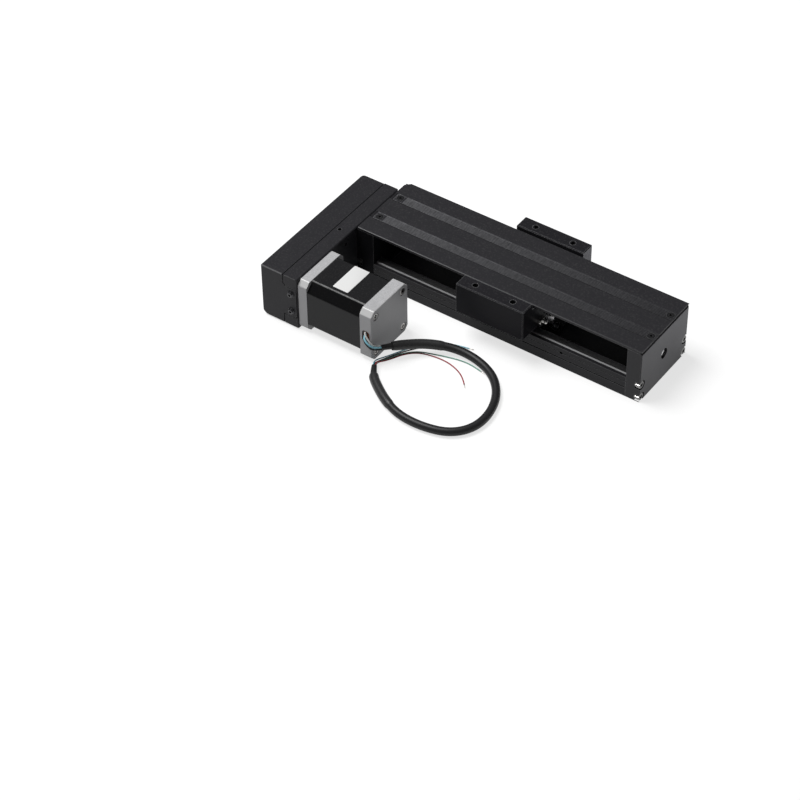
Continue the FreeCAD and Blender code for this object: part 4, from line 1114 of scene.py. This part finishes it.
# %% Bare metals
def bare_metal(name, tone, rough, streak=None, grain_scale=3000.0, relief=0.05, edge_lightening=None,
               metal=1.0, lower_shade=None, slope_highlight=None, ends=None, spread=0.1):
    """Metal with streaks or grain. Optional colours: wear on its sharp edges, a painted highlight on
    its bevels, painted shade on the faces towards the tail, and painted shade on what doesn't face
    up."""
    material, tree, shader = start_finish(name)
    if streak:
        pattern = effect(tree, streak_group, Stretch=streak)
    else:
        pattern = effect(tree, grain_group, Scale=grain_scale)
    smudges = effect(tree, smudge_group, Scale=110.0)
    contrast = remap(tree, pattern, 0.0, 1.0, 0.25, 0.75)
    colour = varied(tree, tone, 1 - spread, 1 + spread, contrast)
    colour = mix_colour(tree, colour, scaled(tone, 0.82), remap(tree, smudges, 0.0, 0.5, 0.5, 0.8))
    if edge_lightening:
        colour = mix_colour(tree, colour, edge_lightening, effect(tree, edge_group, Width=0.4 * MM))
    # A painted highlight on the bevels.
    if slope_highlight:
        colour = mix_colour(tree, colour, slope_highlight, tilted_share(tree, 0.45, 0.97))
    # Painted shade on what doesn't face up.
    if lower_shade:
        colour = mix_colour(tree, lower_shade, colour, facing_share(tree, "Z", -0.1, 0.5))
    # Painted shade on the faces towards the tail.
    if ends:
        colour = mix_colour(tree, colour, ends, facing_share(tree, "X", 0.6, 0.9))
    feed(tree, shader, {"Base Color": colour, "Metallic": metal, "Specular IOR Level": 0.25})
    set_roughness(tree, shader, rough, pattern, smudges, fine=0.06, broad=0.04)
    bump(tree, shader, pattern, strength=relief, distance=0.03 * MM)
    return material


PLATED = (0.80, 0.79, 0.77)
round_x = (1800.0, 60.0, 60.0)
ground_steel = bare_metal("ground_steel", (0.60, 0.60, 0.61), 0.24, along_x)
rail_steel = bare_metal("rail_steel", (0.66, 0.66, 0.67), 0.30, along_x)
turned_steel = bare_metal("turned_steel", (0.58, 0.58, 0.59), 0.26, round_x)
# Plated screws get painted shade on what doesn't face up.
plated_steel = bare_metal("plated_steel", PLATED, 0.17, lower_shade=(0.20, 0.19, 0.18))
# The cap screws at the end blocks also get painted shade on their ends towards the tail.
block_screw_steel = bare_metal("block_screw_steel", PLATED, 0.17, lower_shade=(0.12, 0.12, 0.12),
                               ends=(0.10, 0.10, 0.10))
black_oxide = bare_metal("black_oxide", (0.05, 0.05, 0.054), 0.36, edge_lightening=(0.28, 0.28, 0.28))
# The cast ends get a painted highlight on their chamfers and painted shade on their sides and
# undersides.
cast_aluminium = bare_metal("cast_aluminium", (0.48, 0.48, 0.49), 0.44, None, 1100.0, 0.25,
                            metal=0.15, slope_highlight=(0.62, 0.62, 0.62), spread=0.2,
                            lower_shade=(0.41, 0.41, 0.42))
turned_aluminium = bare_metal("turned_aluminium", (0.68, 0.68, 0.69), 0.30, round_x)
tinned_copper = bare_metal("tinned_copper", (0.72, 0.69, 0.64), 0.28, None, 5000.0, 0.1)
print("metals ready")

# %% [markdown]
# The motor's middle is a stack of thin steel sheets under a coat of black lacquer. The sheets show
# as fine lines round the body, so a wave along X raises them a little. The lacquer stays glossy.
# The rounded corners get painted shade, with a painted highlight line where the front one meets the
# top.

# %% Lacquered laminations
LAMINATION = 0.5 * MM
WAVE_RATE = 20  # radians that the wave texture runs through for each unit of its scale
LACQUER = (0.0125, 0.0125, 0.0135)
# Painted shade on the rounded corners, and a painted highlight along the front corner's top.
PAINTED_CORNER_SHADE = 0.35
PAINTED_EDGE_HIGHLIGHT = (0.15, 0.15, 0.15)
stator_black, tree, shader = start_finish("lacquered_laminations")
wave_scale = 2 * math.pi / WAVE_RATE / LAMINATION
inputs = {"Vector": object_place(tree), "Scale": wave_scale, "Distortion": 0.6}
waves = add_node(tree, "ShaderNodeTexWave", inputs, wave_type="BANDS", bands_direction="X")
lines = waves.outputs["Fac"]
grain = effect(tree, grain_group, Scale=3500.0)
smudges = effect(tree, smudge_group, Scale=70.0)
colour = varied(tree, LACQUER, 0.8, 1.35, lines)
# Painted shade on the rounded corners.
colour = mix_colour(tree, colour, scaled(LACQUER, PAINTED_CORNER_SHADE), tilted_share(tree, 0.2, 0.74))
colour = mix_colour(tree, colour, RUBBED_AND_HIGHLIT, times(tree, effect(tree, edge_group), 0.6))
# A painted highlight line where the front rounded corner meets the top.
painted_edge_line = remap(tree, noise(tree, object_place(tree), 260.0), 0.45, 1.0, 0.35, 0.6)
painted_edge_line = times(tree, painted_edge_line, tilted_share(tree, 0.76, 0.98))
painted_edge_line = times(tree, painted_edge_line, facing_share(tree, "Y", 0.0, -0.15))
colour = mix_colour(tree, colour, PAINTED_EDGE_HIGHLIGHT, painted_edge_line)
colour = mix_colour(tree, colour, DUST, effect(tree, dust_group, Amount=0.08))
rough = calculate(tree, "ADD", remap(tree, smudges, -0.05, 0.05), 0.24)
feed(tree, shader, {"Base Color": colour, "Roughness": rough, "Specular IOR Level": 0.14})
bump(tree, shader, calculate(tree, "ADD", lines, grain), strength=0.12, distance=0.03 * MM)
print("lacquer ready")

# %% [markdown]
# The rest are soft or moulded materials: paper, brown and black plastic, belt rubber, the cable's
# jacket, shrunk sleeves and thin coloured insulation. They differ in tone, gloss and grain, so one
# function with a few values makes them all.

# %% Plastics, rubber and paper
def moulded(name, tone, rough, grain_scale=2500.0, relief=0.08, spread=0.2, dust=0.04, sheen=0.5):
    material, tree, shader = start_finish(name)
    grain = effect(tree, grain_group, Scale=grain_scale)
    smudges = effect(tree, smudge_group, Scale=90.0)
    colour = varied(tree, tone, 1 - spread, 1 + spread, grain)
    handled = remap(tree, smudges, 0.0, 0.6, 0.5, 0.8)
    colour = mix_colour(tree, colour, scaled(tone, 1 - spread), handled)
    colour = mix_colour(tree, colour, DUST, effect(tree, dust_group, Amount=dust))
    feed(tree, shader, {"Base Color": colour, "Specular IOR Level": sheen})
    set_roughness(tree, shader, rough, grain, smudges)
    bump(tree, shader, grain, strength=relief, distance=0.05 * MM)
    return material


label_paper = moulded("label_paper", (0.75, 0.75, 0.745), 0.55, 1800.0, 0.05, 0.03, 0.0)
bushing_brown = moulded("bushing_brown", (0.30, 0.10, 0.040), 0.45)
cap_plastic = moulded("cap_plastic", (0.03, 0.03, 0.032), 0.5)
belt_rubber = moulded("belt_rubber", (0.018, 0.018, 0.018), 0.65, 1500.0, 0.2)
cable_jacket = moulded("cable_jacket", (0.017, 0.017, 0.018), 0.42, 1600.0, 0.12, sheen=0.3)
sleeve_black = moulded("sleeve_black", (0.029, 0.029, 0.030), 0.36, 900.0, 0.2, sheen=0.3)
insulation_tones = {
    "red": (0.36, 0.02, 0.035),
    "green": (0.17, 0.40, 0.31),
    "black": (0.016, 0.016, 0.017),
    "blue": (0.25, 0.55, 0.66),
    "white": (0.74, 0.74, 0.72),
}
insulation = {c: moulded("insulation_" + c, tone, 0.38) for c, tone in insulation_tones.items()}
print("soft finishes ready")

# %% [markdown]
# Last, every piece gets its finish. The solids stay as they are, and only what is in their material
# slots changes. The list goes from a finish to its pieces, so each finish is chosen in one place.

# %% Dress the pieces
finishes = {
    profile_black: ["base_profile"],
    painted_shade_black: ["drive_end_block"],
    cover_black: ["cover_plate"],
    block_black: ["tail_end_block"],
    housing_black: ["motor_plate", "belt_cover"],
    saddle_black: ["carriage_saddle"],
    rail_steel: ["rail_strip_front", "rail_strip_rear"],
    ground_steel: ["race_bar_front", "race_bar_rear", "guide_balls"],
    turned_steel: ["ball_nut", "lock_nut", "motor_shaft",
                   "drive_bearing_outer_rings", "drive_bearing_inner_rings",
                   "tail_bearing_outer_rings", "tail_bearing_inner_rings",
                   "motor_bearing_outer_rings", "motor_bearing_inner_rings"],
    plated_steel: ["motor_cap_screws", "grease_nipple"],
    black_oxide: ["cover_screws", "motor_plate_screws", "belt_cover_screws", "motor_mount_screws",
                  "driven_pulley_set_screws", "drive_pulley_set_screws", "nut_screws",
                  "return_cap_screws", "rotor_stack"],
    cast_aluminium: ["motor_flange", "motor_rear_cap"],
    turned_aluminium: ["driven_pulley", "drive_pulley"],
    stator_black: ["motor_stator"],
    cap_plastic: ["ball_return_caps"],
    belt_rubber: ["timing_belt"],
}


def dress(material, *pieces):
    """Gives pieces their finish, whether or not they have a material slot."""
    for piece in pieces:
        if not piece.material_slots:
            piece.data.materials.append(material)
        for slot in piece.material_slots:
            slot.material = material


for material, names in finishes.items():
    dress(material, *[nodes[name] for name in names])
dress(ground_steel, thread)
dress(block_screw_steel, *tail_screws, *drive_screws, *washers)
dress(label_paper, label)
dress(bushing_brown, bushing)
dress(cable_jacket, cable)
dress(sleeve_black, motor_sleeve, free_sleeve)
dress(tinned_copper, *tips.values())
for colour, cord in [*leads.items(), *wires.items()]:
    dress(insulation[colour], cord)
bare = [o.name for o in scene.objects if o.type in ("MESH", "CURVE") and not o.hide_render
        and not o.material_slots]
print("pieces without a finish", bare)
